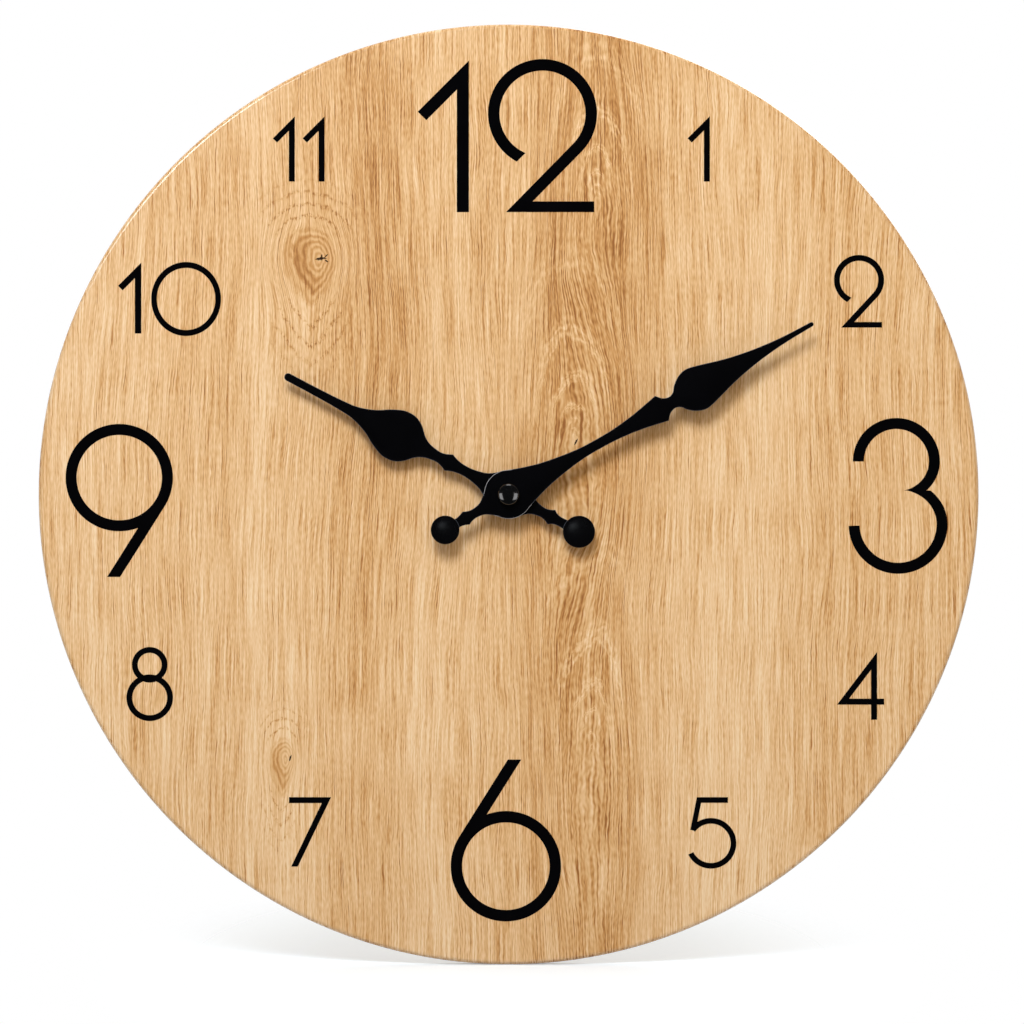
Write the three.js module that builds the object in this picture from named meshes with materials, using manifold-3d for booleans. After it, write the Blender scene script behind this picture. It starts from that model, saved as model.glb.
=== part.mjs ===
// A round wooden wall clock: a printed wooden board, two spade hands and a battery quartz movement.
// Millimetres, +Z up. The dial faces -Y, and the clock is seen from the front looking along +Y.
// The origin is on the hands' axis, on the wall plane, which the back of the movement touches.
// A depth is a distance in front of the wall plane. A bearing is an angle clockwise from 12 o'clock.

import * as THREE from "three";
import { mergeVertices } from "three/addons/utils/BufferGeometryUtils.js";
import Module from "manifold-3d";

const wasm = await Module();
wasm.setup();

const degrees = THREE.MathUtils.degToRad;

// Clearances
const seatGap = 0.05; // between faces that are clamped or laid together
const slipGap = 0.15; // round a piece that drops into another
const turnGap = 0.15; // round an arbor in its bearing
const layerGap = 0.3; // between wheels that pass each other
const contactGap = 0.3; // between the battery and its contacts

// How far pieces of one solid reach into each other, and how far a cut runs past the faces it opens
const joinDepth = 0.1;
const cutPast = 1;

// Dial board
const dialDiameter = 300;
const dialThickness = 5;
const dialFrontRound = 1.2;
const dialRearRound = 0.5;
const dialSegments = 72;

// Hands
const minuteBearing = 60.7;
const hourBearing = -62;
const handSheet = 0.5;
const hubRadius = 7.74;
const tailDomeRise = 0.9;
const tailDomeRim = 1.2; // from the dome's edge to its hollow underside
const tailDomeStretch = 0.1; // how much thicker than the sheet the dome is at its top
const hourColletWall = 1.3;
const hourColletLength = 1.2;

// Fixing through the board
const bushingRadius = 3.9;
const bushingWall = 1.15;
const bushingFlangeRadius = 5.6;
const bushingFlange = 0.8;
const bushingPastNut = 0.7;
const bushingHoleGap = 0.25;
const rubberWasherRadius = 9;
const rubberWasherThickness = 1;
const flatWasherRadius = 6;
const flatWasherThickness = 0.5;
const nutAcrossFlats = 10;
const nutThickness = 2.2;
const nutChamfer = 1.1;

// Arbors
const secondsArborRadius = 0.5;
const minuteArborRadius = 1.75;
const minuteFlatGap = 0.4; // how far each flat of the minute arbor's end is cut in
const minuteThreadRadius = 1.45;
const minuteThreadLength = 1.8;
const hourPipeWall = 0.6;
const handGap = 1.8; // between the two hands
const pivotRadius = 0.5;
const motionShaftRadius = 0.9;

// Cap nut on the minute arbor
const capRadius = 3.4;
const capSkirt = 1.2;
const capDome = 2.5;

// Movement case, with its battery bay and its hanger
const caseWall = 1.3;
const caseCorner = 3;
const bayFloor = 0.9;
const bayGap = 0.3;
const batteryDiameter = 14.5;
const batteryLength = 50.5;
const batteryNubRadius = 2.75;
const batteryNub = 1;
const springLength = 1.3;
const springRadius = 4;
const springEndRadius = 2.6;
const springWireRadius = 0.2;
const springTurns = 2;
const contactSheet = 0.3;
const contactBump = 0.3;
const contactHalfHeight = 5;
const contactWidth = 3;
const contactStripInset = 1; // from the front edge of a contact plate to its strip
const positiveTabRise = 8; // how far each contact rises past the lower end of the circuit board
const negativeTabRise = 2;
const coverThickness = 1.3;
const coverCorner = 0.5;
const thumbNotchRadius = 8;
const hangerThickness = 2.8;
const hangerHeight = 13;
const hangerHalfWidth = 15;
const hangerTopHalfWidth = 11;
const hangerCorner = 3;
const slotHalfWidth = 7;
const slotHeight = 6.5;
const slotAboveCase = 2.5;
const notchPitch = 2.6;
const notchRadius = 1.1;
const notchCount = 5;
const seatRingRadius = 11.5; // round the rubber washer, on the front of the case
const seatRingWidth = 1;
const seatRingHeight = 0.6;
const cradleRibs = [-13, 13];
const cradleRibThickness = 1.2;

// Wheels
const pressureAngle = degrees(30);
const addendum = 0.8; // in modules
const dedendum = 1.25; // in modules
const toothPlay = 0.2; // thinning of each tooth, in modules
const wheelThickness = 0.8;
const motionThickness = 0.9;
const pinionOverlap = 0.1; // how far a pinion reaches past the wheel that it meshes with
const middlePlateThickness = 0.8;
const clutchSpringThickness = 0.25;
const clutchSpringRadius = 3.3;
const clutchSpringArms = 3;
const clutchSpringWave = 0.15; // depth of the hollows between the arms, as a share of the radius
const webRecess = 0.25; // how far a wheel's web is sunk between its hub and its rim
const webRim = 1;
const webHub = 1.3;

// Distances between the axes of wheels that mesh
const motionDistance = 10.2;
const driveDistance = 9.36;
const secondsDistance = 9.6;
const rotorDistance = 7.92;

// Tooth counts of each mesh, wheel first
const motionMesh = meshOf(36, 12, motionDistance);
const hourMesh = meshOf(40, 10, motionDistance);
const centreMesh = meshOf(64, 8, driveDistance);
const thirdMesh = meshOf(60, 8, driveDistance);
const secondsMesh = meshOf(60, 10, secondsDistance);
const rotorMesh = meshOf(60, 12, rotorDistance);

// Directions from one axis to the next
const thirdBearing = degrees(65);
const intermediateBearing = degrees(-60);
const rotorBearing = degrees(-10);
const motionBearing = degrees(0);

// Setting knob
const knobRadius = 5.6;
const knobThickness = 2.4;
const knobSunk = 0.4;
const knobRidges = 20;
const knobRidgeDepth = 0.45;
const knobPocketGap = 0.7;
const knobPocketWall = 1;

// Stepping motor
const magnetRadius = 2.6;
const magnetLength = 3;
const airGap = 0.5;
const laminationThickness = 1;
const legWidth = 4;
const statorWall = 1.2;
const statorSlit = 0.8;
const barAboveRotor = 0.6;
const barWidth = 3.2;
const coilBarrelRadius = 2.2;
const coilFlangeRadius = 4;
const coilFlange = 0.8;
const coilMargin = 1.2;
const windingBuild = 1.2;
const coilHalfLength = 9.5;
const coreHalfLength = 15;
const coreWidth = 3;
const coreThickness = 0.8;

const motorMiddle = -3;

// Posts, clips and pivots
const postRadius = 1.5;
const pinRadius = 0.8;
const lowerPostSide = 15;
const lowerPostMargin = 2.8; // from the pocket's floor to a lower post's axis
const upperPostGap = 1; // between an upper post and the leg of the stator
const plateMargin = 2.4; // from a post's axis to the edge of the middle plate
const plateEdgeGap = 0.8;
const plateCorner = 1.5;
const bossRadius = 1.4;
const bearingWall = 1.1;
const bearingLength = 0.8;
const clipHeights = [2, 18];
const clipHalfHeight = 3;
const clipThickness = 1;
const clipLength = 6;
const clipBarb = 0.9;
const clipBarbLength = 1.6;

// Circuit board
const circuitLength = 22;
const circuitFloorGap = 2.2;
const circuitPlateGap = 0.7;
const circuitPostInset = 2.2;
const chipRadius = 2.6;
const chipRise = 1.1;
const chipAboveEnd = 9; // from the lower end of the board to the chip's middle
const crystalRadius = 1;
const crystalLength = 6;
const crystalAboveChip = 1;
const crystalOffset = 2.5; // from the middle of the board to the crystal's axis

// A wheel and pinion that mesh at a centre distance share a module.
function meshOf(wheelTeeth, pinionTeeth, distance) {
  const module = (2 * distance) / (wheelTeeth + pinionTeeth);
  const wheel = { teeth: wheelTeeth, module, flankSteps: 1 };
  const pinion = { teeth: pinionTeeth, module, flankSteps: 2 };
  return { distance, wheel, pinion };
}

const pitchRadius = (gear) => (gear.teeth * gear.module) / 2;
const tipRadius = (gear) => pitchRadius(gear) + addendum * gear.module;
const rootRadius = (gear) => pitchRadius(gear) - dedendum * gear.module;

// A point at a bearing and a distance, in the plane of the dial.
const polar = (distance, bearing) =>
  new THREE.Vector2(distance * Math.sin(bearing), distance * Math.cos(bearing));

// Axes of the train, in the plane of the dial
const centreAxis = new THREE.Vector2(0, 0);
const thirdAxis = polar(centreMesh.distance, thirdBearing);
const intermediateAxis = polar(secondsMesh.distance, intermediateBearing);
const rotorAxis = polar(rotorMesh.distance, rotorBearing).add(intermediateAxis);
const motionAxis = polar(motionMesh.distance, motionBearing);

// The train is stacked from the rear cover to the front wall of the case.
const pocketFloorRear = knobSunk + knobThickness + layerGap;
const pocketFloorFront = pocketFloorRear + knobPocketWall;
const layer = (rear, thickness) => ({ rear, front: rear + thickness });
const intermediateLayer = layer(pocketFloorFront + 3 * layerGap, wheelThickness);
const secondsLayer = layer(intermediateLayer.front + 2 * layerGap, wheelThickness);
const thirdLayer = layer(secondsLayer.front + 2 * layerGap, wheelThickness);
const clutchLayer = layer(thirdLayer.front + layerGap, clutchSpringThickness);
const centreLayer = layer(clutchLayer.front + seatGap, wheelThickness);
const plateLayer = layer(centreLayer.front + layerGap, middlePlateThickness);
const motionLayer = layer(plateLayer.front + layerGap, motionThickness);
const hourLayer = layer(motionLayer.front + layerGap, motionThickness);
const flangeLayer = layer(hourLayer.front + layerGap, bushingFlange);

const pivotRear = coverThickness + 3 * layerGap;
const bossFront = pocketFloorFront + layerGap;
const knobPocket = knobRadius + knobPocketGap;
const pivotAxes = [centreAxis, thirdAxis, intermediateAxis, rotorAxis];

// The case is as deep as its battery or its train needs, whichever is more.
const depthForTrain = flangeLayer.front + seatGap + caseWall;
const depthForBattery = 2 * bayGap + batteryDiameter + bayFloor;
const caseDepth = Math.max(depthForTrain, depthForBattery);
const caseInside = caseDepth - caseWall;

// Outline of the case. The mechanism's pocket lies above the battery bay.
const pocketMargin = 1.7;
const pocketBelow = Math.max(tipRadius(hourMesh.wheel), tipRadius(centreMesh.wheel)) + pocketMargin;
const statorHole = magnetRadius + airGap;
const coilHeight = rotorAxis.y + statorHole + statorWall + contactGap + coilFlangeRadius;
const pocketAbove = coilHeight + coilFlangeRadius + coilMargin;
const plusSpace = seatGap + contactSheet + contactBump + contactGap;
const minusSpace = seatGap + contactSheet + springLength + contactGap;
const insideHalfWidth = (batteryLength + plusSpace + minusSpace) / 2;
const batteryRight = insideHalfWidth - plusSpace;
const batteryLeft = batteryRight - batteryLength;
const caseHalfWidth = insideHalfWidth + caseWall;
const bayTop = -(pocketBelow + caseWall);
const bayBottom = bayTop - 2 * bayGap - batteryDiameter;
const caseTop = pocketAbove + caseWall;
const caseBottom = bayBottom - caseWall;
const batteryHeight = (bayTop + bayBottom) / 2;
const batteryDepth = bayGap + batteryDiameter / 2;
const contactFront = batteryDepth + contactHalfHeight - contactStripInset;
const contactRear = contactFront - contactWidth;

// Stack in front of the case
const boardRear = caseDepth + rubberWasherThickness + 2 * seatGap;
const boardFront = boardRear + dialThickness;
const nutRear = boardFront + flatWasherThickness + 2 * seatGap;
const nutFront = nutRear + nutThickness;
const bushingFront = nutFront + bushingPastNut;
const hourColletRear = bushingFront + layerGap;
const hourHandRear = hourColletRear + hourColletLength;
const hourHandFront = hourHandRear + handSheet;
const minuteHandRear = hourHandFront + handGap;
const minuteHandFront = minuteHandRear + handSheet;
const capRear = minuteHandFront + seatGap;
const capSeam = capRear + capSkirt;
const capFront = capSeam + capDome;
const minuteThreadFront = minuteHandFront + minuteThreadLength;
const hourPipeRadius = minuteArborRadius + turnGap + hourPipeWall;
const bushingBore = bushingRadius - bushingWall;

// Helpers that turn geometry into solids and back

function solidOf(geometry) {
  const bare = geometry.clone();
  bare.deleteAttribute("normal");
  bare.deleteAttribute("uv");
  const merged = mergeVertices(bare, 1e-4);
  const vertProperties = merged.getAttribute("position").array;
  const triVerts = new Uint32Array(merged.index.array);
  return new wasm.Manifold(new wasm.Mesh({ numProp: 3, vertProperties, triVerts }));
}

function geometryOf(solid) {
  const { vertProperties, triVerts } = solid.getMesh();
  const geometry = new THREE.BufferGeometry();
  geometry.setAttribute("position", new THREE.BufferAttribute(vertProperties, 3));
  geometry.setIndex(new THREE.BufferAttribute(triVerts, 1));
  geometry.computeVertexNormals();
  return geometry;
}

const joined = (...solids) => solids.reduce((whole, solid) => whole.add(solid));
const cutBy = (solid, ...tools) => tools.reduce((left, tool) => left.subtract(tool), solid);

// Carries a solid built round the hands' axis to another axis.
const carriedTo = (solid, axis) => solid.translate([axis.x, 0, axis.y]);

// Extrudes a shape drawn as the dial is seen, between two depths.
function slab(shape, rear, front, curveSegments = 4) {
  const options = { depth: front - rear, bevelEnabled: false, curveSegments };
  const geometry = new THREE.ExtrudeGeometry(shape, options);
  geometry.rotateX(Math.PI / 2);
  return solidOf(geometry.translate(0, -rear, 0));
}

// Revolves a closed profile of [radius, depth] points about the hands' axis.
function turned(points, segments = 20) {
  const profile = points.map(([radius, depth]) => new THREE.Vector2(radius, -depth));
  if (THREE.ShapeUtils.area(profile) < 0) profile.reverse();
  const closed = profile[0].x === 0 ? profile : [...profile, profile[0]];
  return solidOf(new THREE.LatheGeometry(closed, segments));
}

// A plain rod between two depths.
function rod(radius, rear, front, segments = 12) {
  const geometry = new THREE.CylinderGeometry(radius, radius, front - rear, segments);
  return solidOf(geometry.translate(0, -(rear + front) / 2, 0));
}

// A tube between two depths.
const tube = (outer, inner, rear, front, segments = 20) =>
  turned([[inner, rear], [outer, rear], [outer, front], [inner, front]], segments);

// A box from its sides in X, its depths and its heights in Z.
function block(left, right, rear, front, bottom, top) {
  const geometry = new THREE.BoxGeometry(right - left, front - rear, top - bottom);
  return solidOf(geometry.translate((left + right) / 2, -(rear + front) / 2, (bottom + top) / 2));
}

// A rod along X or along Z, at a depth and at a place across it.
function rodAlongX(radius, left, right, depth, height, segments = 20) {
  const geometry = new THREE.CylinderGeometry(radius, radius, right - left, segments);
  return solidOf(geometry.rotateZ(-Math.PI / 2).translate((left + right) / 2, -depth, height));
}

function rodAlongZ(radius, bottom, top, across, depth, segments = 20) {
  const geometry = new THREE.CylinderGeometry(radius, radius, top - bottom, segments);
  return solidOf(geometry.rotateX(Math.PI / 2).translate(across, -depth, (bottom + top) / 2));
}

function roundedRectangle(left, right, bottom, top, corner) {
  const shape = new THREE.Shape();
  shape.absarc(right - corner, bottom + corner, corner, -Math.PI / 2, 0);
  shape.absarc(right - corner, top - corner, corner, 0, Math.PI / 2);
  shape.absarc(left + corner, top - corner, corner, Math.PI / 2, Math.PI);
  shape.absarc(left + corner, bottom + corner, corner, Math.PI, 1.5 * Math.PI);
  return shape;
}

function part(name, solid, color, roughness, metalness = 0) {
  const material = new THREE.MeshStandardMaterial({ color, roughness, metalness });
  const mesh = new THREE.Mesh(geometryOf(solid), material);
  mesh.name = name;
  return mesh;
}

// Colours
const oak = 0xd9ab70;
const blackPaint = 0x0b0b0c;
const blackPlastic = 0x17171a;
const whitePlastic = 0xe9e7df;
const brass = 0xc2a05a;
const steel = 0xb9bbbd;
const rubber = 0x1c1c1c;
const ferrite = 0x4a4a4d;
const copper = 0xa4501f;
const laminate = 0x2f6b3c;
const resin = 0x101010;
const batteryJacket = 0x3d4348;

// Gears

const involute = (angle) => Math.tan(angle) - angle;

// Half the angle that a tooth spans at a radius.
function toothHalfAngle(gear, radius) {
  const pitch = pitchRadius(gear);
  const base = pitch * Math.cos(pressureAngle);
  const atPitch = Math.PI / (2 * gear.teeth) - (toothPlay * gear.module) / (2 * pitch);
  const turnedIn = involute(Math.acos(Math.min(1, base / radius)));
  return atPitch + involute(pressureAngle) - turnedIn;
}

// Outline of a spur gear with one tooth centred on the phase, which is a bearing.
function gearShape(gear, phase) {
  const root = rootRadius(gear);
  const tip = tipRadius(gear);
  const flank = [];
  for (let step = 0; step <= gear.flankSteps; step++) {
    const radius = root + ((tip - root) * step) / gear.flankSteps;
    flank.push({ radius, half: toothHalfAngle(gear, radius) });
  }
  const points = [];
  for (let tooth = 0; tooth < gear.teeth; tooth++) {
    const middle = phase + (2 * Math.PI * tooth) / gear.teeth;
    for (const { radius, half } of flank) points.push(polar(radius, middle - half));
    for (const { radius, half } of [...flank].reverse()) points.push(polar(radius, middle + half));
  }
  return new THREE.Shape(points);
}

const gearSolid = (gear, phase, rear, front) => slab(gearShape(gear, phase), rear, front);

// Phase of the gear that meshes with another one, which lies along the bearing from the first axis.
function meshingPhase(first, firstPhase, bearing, second) {
  const firstPitch = pitchRadius(first);
  const halfTooth = (Math.PI * firstPitch) / first.teeth;
  const along = firstPitch * (firstPhase - bearing) + halfTooth;
  return bearing + Math.PI - along / pitchRadius(second);
}

const motionWheelPhase = meshingPhase(motionMesh.pinion, 0, motionBearing, motionMesh.wheel);
const hourWheelPhase = meshingPhase(hourMesh.pinion, 0, motionBearing + Math.PI, hourMesh.wheel);
const thirdPinionPhase = meshingPhase(centreMesh.wheel, 0, thirdBearing, centreMesh.pinion);
const secondsPinionPhase = meshingPhase(thirdMesh.wheel, 0, thirdBearing + Math.PI, thirdMesh.pinion);
const intermediatePinionPhase =
  meshingPhase(secondsMesh.wheel, 0, intermediateBearing, secondsMesh.pinion);
const rotorPinionPhase = meshingPhase(rotorMesh.wheel, 0, rotorBearing, rotorMesh.pinion);

// Dial board: a disc with softened edges and a hole for the bushing
function dialBoard() {
  const radius = dialDiameter / 2;
  const hole = bushingRadius + bushingHoleGap;
  const rounded = (centreDepth, round, from, to) =>
    [0, 1, 2].map((step) => {
      const angle = from + ((to - from) * step) / 2;
      return [radius - round + round * Math.cos(angle), centreDepth + round * Math.sin(angle)];
    });
  const profile = [
    [hole, boardRear],
    ...rounded(boardRear + dialRearRound, dialRearRound, -Math.PI / 2, 0),
    ...rounded(boardFront - dialFrontRound, dialFrontRound, 0, Math.PI / 2),
    [hole, boardFront],
  ];
  return part("dial_board", turned(profile, dialSegments), oak, 0.5);
}

// Hands. Each outline is given as [distance from the hub, half width] points of its smooth stretches.
// A stretch ends at a corner, and the far side is the mirror image.

const minuteOutline = {
  arm: [
    [2.2, 7.42], [6, 5.95], [12.5, 4], [19, 2.72], [26, 1.8], [32, 1.6], [39, 1.8], [47, 2.75], [55.7, 4.5],
  ],
  leaf: [
    [55.7, 4.5], [57.4, 2.7], [59.4, 2.03], [61.2, 2.7], [62.6, 4.4], [65, 6.2], [67.8, 7.05],
    [71, 6.6], [80.3, 3.98], [88, 2.4], [95.6, 1.4], [102, 0.95], [110, 0.72],
  ],
  tail: [[6.3, 4.5], [7.7, 3.25], [9.6, 2], [12, 1.5], [14, 1.72], [15.4, 2.35]],
  neck: [[15.4, 2.35], [16.6, 1.87], [18, 1.52], [19.3, 1.6]],
  domeCentre: 23.05,
  domeRadius: 4.55,
};

const hourOutline = {
  arm: [[5.9, 5], [7.5, 3.7], [9.6, 2.6], [12.7, 1.87], [15.9, 1.6], [19.1, 2], [21.5, 2.9]],
  leaf: [
    [21.5, 2.9], [23.4, 2.05], [25.6, 1.7], [29.3, 2.35], [31.9, 3.8], [34.4, 6.3], [36.9, 7.75],
    [39.2, 8.15], [42, 7.85], [45.9, 6.1], [49.7, 3.9], [54.8, 2.15], [60, 1.57], [70, 1.3], [79.2, 1.27],
  ],
  tail: [[6.3, 4.5], [7.6, 3.25], [9.2, 2.2], [12.1, 1.6], [14, 1.95], [15.4, 2.6]],
  neck: [[15.4, 2.6], [16.8, 1.75], [18.6, 1.47], [21, 1.6]],
  domeCentre: 25.3,
  domeRadius: 5.1,
};

// Points of a smooth curve through a stretch's stations, about one per spacing.
function smoothStretch(stations, direction, spacing = 2.4) {
  const points = stations.map(([along, half]) => new THREE.Vector2(half, direction * along));
  const curve = new THREE.SplineCurve(points);
  return curve.getPoints(Math.ceil(curve.getLength() / spacing));
}

// One side of a hand, from its tip back over the hub to the end of its tail.
function handSide({ arm, leaf, tail, neck }) {
  const [tipDistance, tipHalf] = leaf.at(-1);
  const tipPlace = new THREE.Vector2(0, tipDistance);
  const tip = [1, 2].map((step) => polar(tipHalf, ((Math.PI / 2) * step) / 3).add(tipPlace));
  const armStart = Math.atan2(arm[0][1], arm[0][0]);
  const tailStart = Math.PI - Math.atan2(tail[0][1], tail[0][0]);
  const hub = [1, 2, 3, 4, 5].map((step) => polar(hubRadius, armStart + ((tailStart - armStart) * step) / 6));
  return [
    ...tip,
    ...smoothStretch(leaf, 1).reverse(),
    ...smoothStretch(arm, 1).reverse().slice(1),
    ...hub,
    ...smoothStretch(tail, -1),
    ...smoothStretch(neck, -1).slice(1),
  ];
}

// A pressed hand: flat sheet with a dished dome near the end of its tail.
function handSolid(outline, rear, hole) {
  const side = handSide(outline);
  const tip = new THREE.Vector2(0, outline.leaf.at(-1)[0] + outline.leaf.at(-1)[1]);
  const mirrored = side.map(({ x, y }) => new THREE.Vector2(-x, y)).reverse();
  const sheet = slab(new THREE.Shape([...side, ...mirrored, tip]), rear, rear + handSheet);
  const domed = domeSolid(outline.domeRadius, rear);
  const domePlace = new THREE.Vector2(0, -outline.domeCentre);
  return cutBy(joined(sheet, carriedTo(domed, domePlace)), hole);
}

// The tail's dome: its rim is level with the sheet, and its underside is hollow.
function domeSolid(radius, rear) {
  const steps = [0, 1, 2];
  const hollowRadius = radius - tailDomeRim;
  const hollowRise = tailDomeRise - tailDomeStretch;
  const front = rear + handSheet;
  const rise = (rim, base, height) =>
    steps.map((step) => {
      const angle = ((Math.PI / 2) * step) / steps.length;
      return [rim * Math.cos(angle), base + height * Math.sin(angle)];
    });
  const outside = [
    [0, rear], [radius, rear],
    ...rise(radius, front, tailDomeRise), [0, front + tailDomeRise],
  ];
  const inside = [
    [0, rear - cutPast], [hollowRadius, rear - cutPast],
    ...rise(hollowRadius, rear, hollowRise), [0, rear + hollowRise],
  ];
  return cutBy(turned(outside), turned(inside));
}

function hourHand() {
  const hole = rod(hourPipeRadius + slipGap, hourHandRear - cutPast, hourHandFront + cutPast, 20);
  const hand = handSolid(hourOutline, hourHandRear, hole).rotate([0, hourBearing, 0]);
  return part("hour_hand", hand, blackPaint, 0.45);
}

// The collet is riveted behind the hour hand and grips the hour pipe.
function hourHandCollet() {
  const bore = hourPipeRadius + slipGap;
  const collet = tube(bore + hourColletWall, bore, hourColletRear, hourHandRear - seatGap);
  return part("hour_hand_collet", collet, brass, 0.35, 1);
}

// The minute hand's hole has two flats, as the arbor's end has.
const flattenedRod = (radius, halfWidth, rear, front) =>
  rod(radius, rear, front, 16)
    .intersect(block(-halfWidth, halfWidth, rear - cutPast, front + cutPast, -radius, radius));

function minuteHand() {
  const radius = minuteArborRadius + seatGap;
  const halfWidth = minuteArborRadius - minuteFlatGap + seatGap;
  const hole = flattenedRod(radius, halfWidth, minuteHandRear - cutPast, minuteHandFront + cutPast);
  const hand = handSolid(minuteOutline, minuteHandRear, hole).rotate([0, minuteBearing, 0]);
  return part("minute_hand", hand, blackPaint, 0.45);
}

// Closed cap nut with a blind bore, screwed on the end of the minute arbor
function capNut() {
  const dome = [0, 1, 2, 3].map((step) => {
    const angle = ((Math.PI / 2) * step) / 4;
    return [capRadius * Math.cos(angle), capSeam + capDome * Math.sin(angle)];
  });
  const outside = turned([[0, capRear], [capRadius, capRear], ...dome, [0, capFront]], 24);
  const bore = rod(minuteThreadRadius + slipGap, capRear - cutPast, minuteThreadFront + layerGap);
  return part("cap_nut", cutBy(outside, bore), blackPaint, 0.15, 0.4);
}

// Fixing through the board

function threadedBushing() {
  const profile = [
    [bushingBore, flangeLayer.rear],
    [bushingFlangeRadius, flangeLayer.rear],
    [bushingFlangeRadius, caseInside - seatGap],
    [bushingRadius, caseInside - seatGap],
    [bushingRadius, bushingFront],
    [bushingBore, bushingFront],
  ];
  return part("threaded_bushing", turned(profile, 24), brass, 0.35, 1);
}

function rubberWasher() {
  const hole = bushingRadius + bushingHoleGap;
  const washer = tube(rubberWasherRadius, hole, caseDepth + seatGap, boardRear - seatGap, 24);
  return part("rubber_washer", washer, rubber, 0.9);
}

function flatWasher() {
  const hole = bushingRadius + bushingHoleGap;
  const washer = tube(flatWasherRadius, hole, boardFront + seatGap, nutRear - seatGap, 24);
  return part("flat_washer", washer, steel, 0.35, 1);
}

function hexNut() {
  const cornerRadius = nutAcrossFlats / Math.sqrt(3);
  const prism = rod(cornerRadius, nutRear, nutFront, 6);
  const chamfer = turned([[0, nutRear - cutPast], [cornerRadius + cutPast, nutRear - cutPast],
    [cornerRadius + cutPast, nutFront - nutChamfer], [nutAcrossFlats / 2, nutFront], [0, nutFront]], 24);
  const bore = rod(bushingRadius + slipGap, nutRear - cutPast, nutFront + cutPast, 24);
  return part("hex_nut", cutBy(prism.intersect(chamfer), bore), brass, 0.35, 1);
}

// Movement case: one moulding with the mechanism's pocket, the battery bay, the posts and the hanger

function hangerOutline() {
  const base = caseTop - caseWall / 2;
  const top = caseTop + hangerHeight;
  const shape = new THREE.Shape();
  shape.moveTo(-hangerHalfWidth, base);
  shape.lineTo(hangerHalfWidth, base);
  shape.lineTo(hangerTopHalfWidth, top - hangerCorner);
  shape.quadraticCurveTo(hangerTopHalfWidth, top, hangerTopHalfWidth - hangerCorner, top);
  shape.lineTo(hangerCorner - hangerTopHalfWidth, top);
  shape.quadraticCurveTo(-hangerTopHalfWidth, top, -hangerTopHalfWidth, top - hangerCorner);
  shape.closePath();
  shape.holes.push(nailSlot());
  return shape;
}

// The slot's upper edge is notched, so that the clock can hang level on a nail.
function nailSlot() {
  const bottom = caseTop + slotAboveCase;
  const top = bottom + slotHeight;
  const slot = new THREE.Path();
  slot.moveTo(-slotHalfWidth, bottom);
  slot.lineTo(slotHalfWidth, bottom);
  slot.lineTo(slotHalfWidth, top);
  for (let notch = notchCount - 1; notch >= 0; notch--) {
    const middle = (notch - (notchCount - 1) / 2) * notchPitch;
    slot.absarc(middle, top, notchRadius, 0, Math.PI, false);
  }
  slot.lineTo(-slotHalfWidth, top);
  slot.closePath();
  return slot;
}

// Posts of the case that carry the middle plate, the stepping motor and the circuit board
const sides = [-1, 1];
const barBottom = rotorAxis.y + barAboveRotor;
const motorPosts = sides.map(
  (side) => new THREE.Vector2(motorMiddle + side * (coreHalfLength - legWidth / 2), coilHeight));
const lowerPosts = sides.map(
  (side) => new THREE.Vector2(side * lowerPostSide, lowerPostMargin - pocketBelow));
const upperPosts = sides.map((side) => new THREE.Vector2(
  motorMiddle + side * (coreHalfLength + upperPostGap + postRadius), barBottom + barWidth / 2));
const platePosts = [...lowerPosts, ...upperPosts];
const plateLeft = Math.min(...platePosts.map((post) => post.x)) - plateMargin;
const plateRight = Math.max(...platePosts.map((post) => post.x)) + plateMargin;
const circuitBottom = circuitFloorGap - pocketBelow;
const circuitTop = circuitBottom + circuitLength;
const circuitLeft = plateRight + circuitPlateGap;
const circuitRight = insideHalfWidth - contactSheet - 2 * seatGap;
const circuitMiddle = (circuitLeft + circuitRight) / 2;
const circuitPosts = [circuitBottom + circuitPostInset, circuitTop - circuitPostInset].map(
  (height) => new THREE.Vector2(circuitMiddle, height));
const chipHeight = circuitBottom + chipAboveEnd;
const crystalBottom = chipHeight + chipRadius + crystalAboveChip;
const stator = layer(thirdLayer.rear, laminationThickness);
const core = layer(stator.front + seatGap, coreThickness);

// A post with a thinner pin on its end, which locates a piece.
function pinnedPost(axis, pinRear, shoulder) {
  const post = rod(postRadius, shoulder + seatGap, caseInside + joinDepth, 8);
  const pin = rod(pinRadius, pinRear, shoulder + seatGap + joinDepth, 8);
  return carriedTo(joined(post, pin), axis);
}

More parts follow.
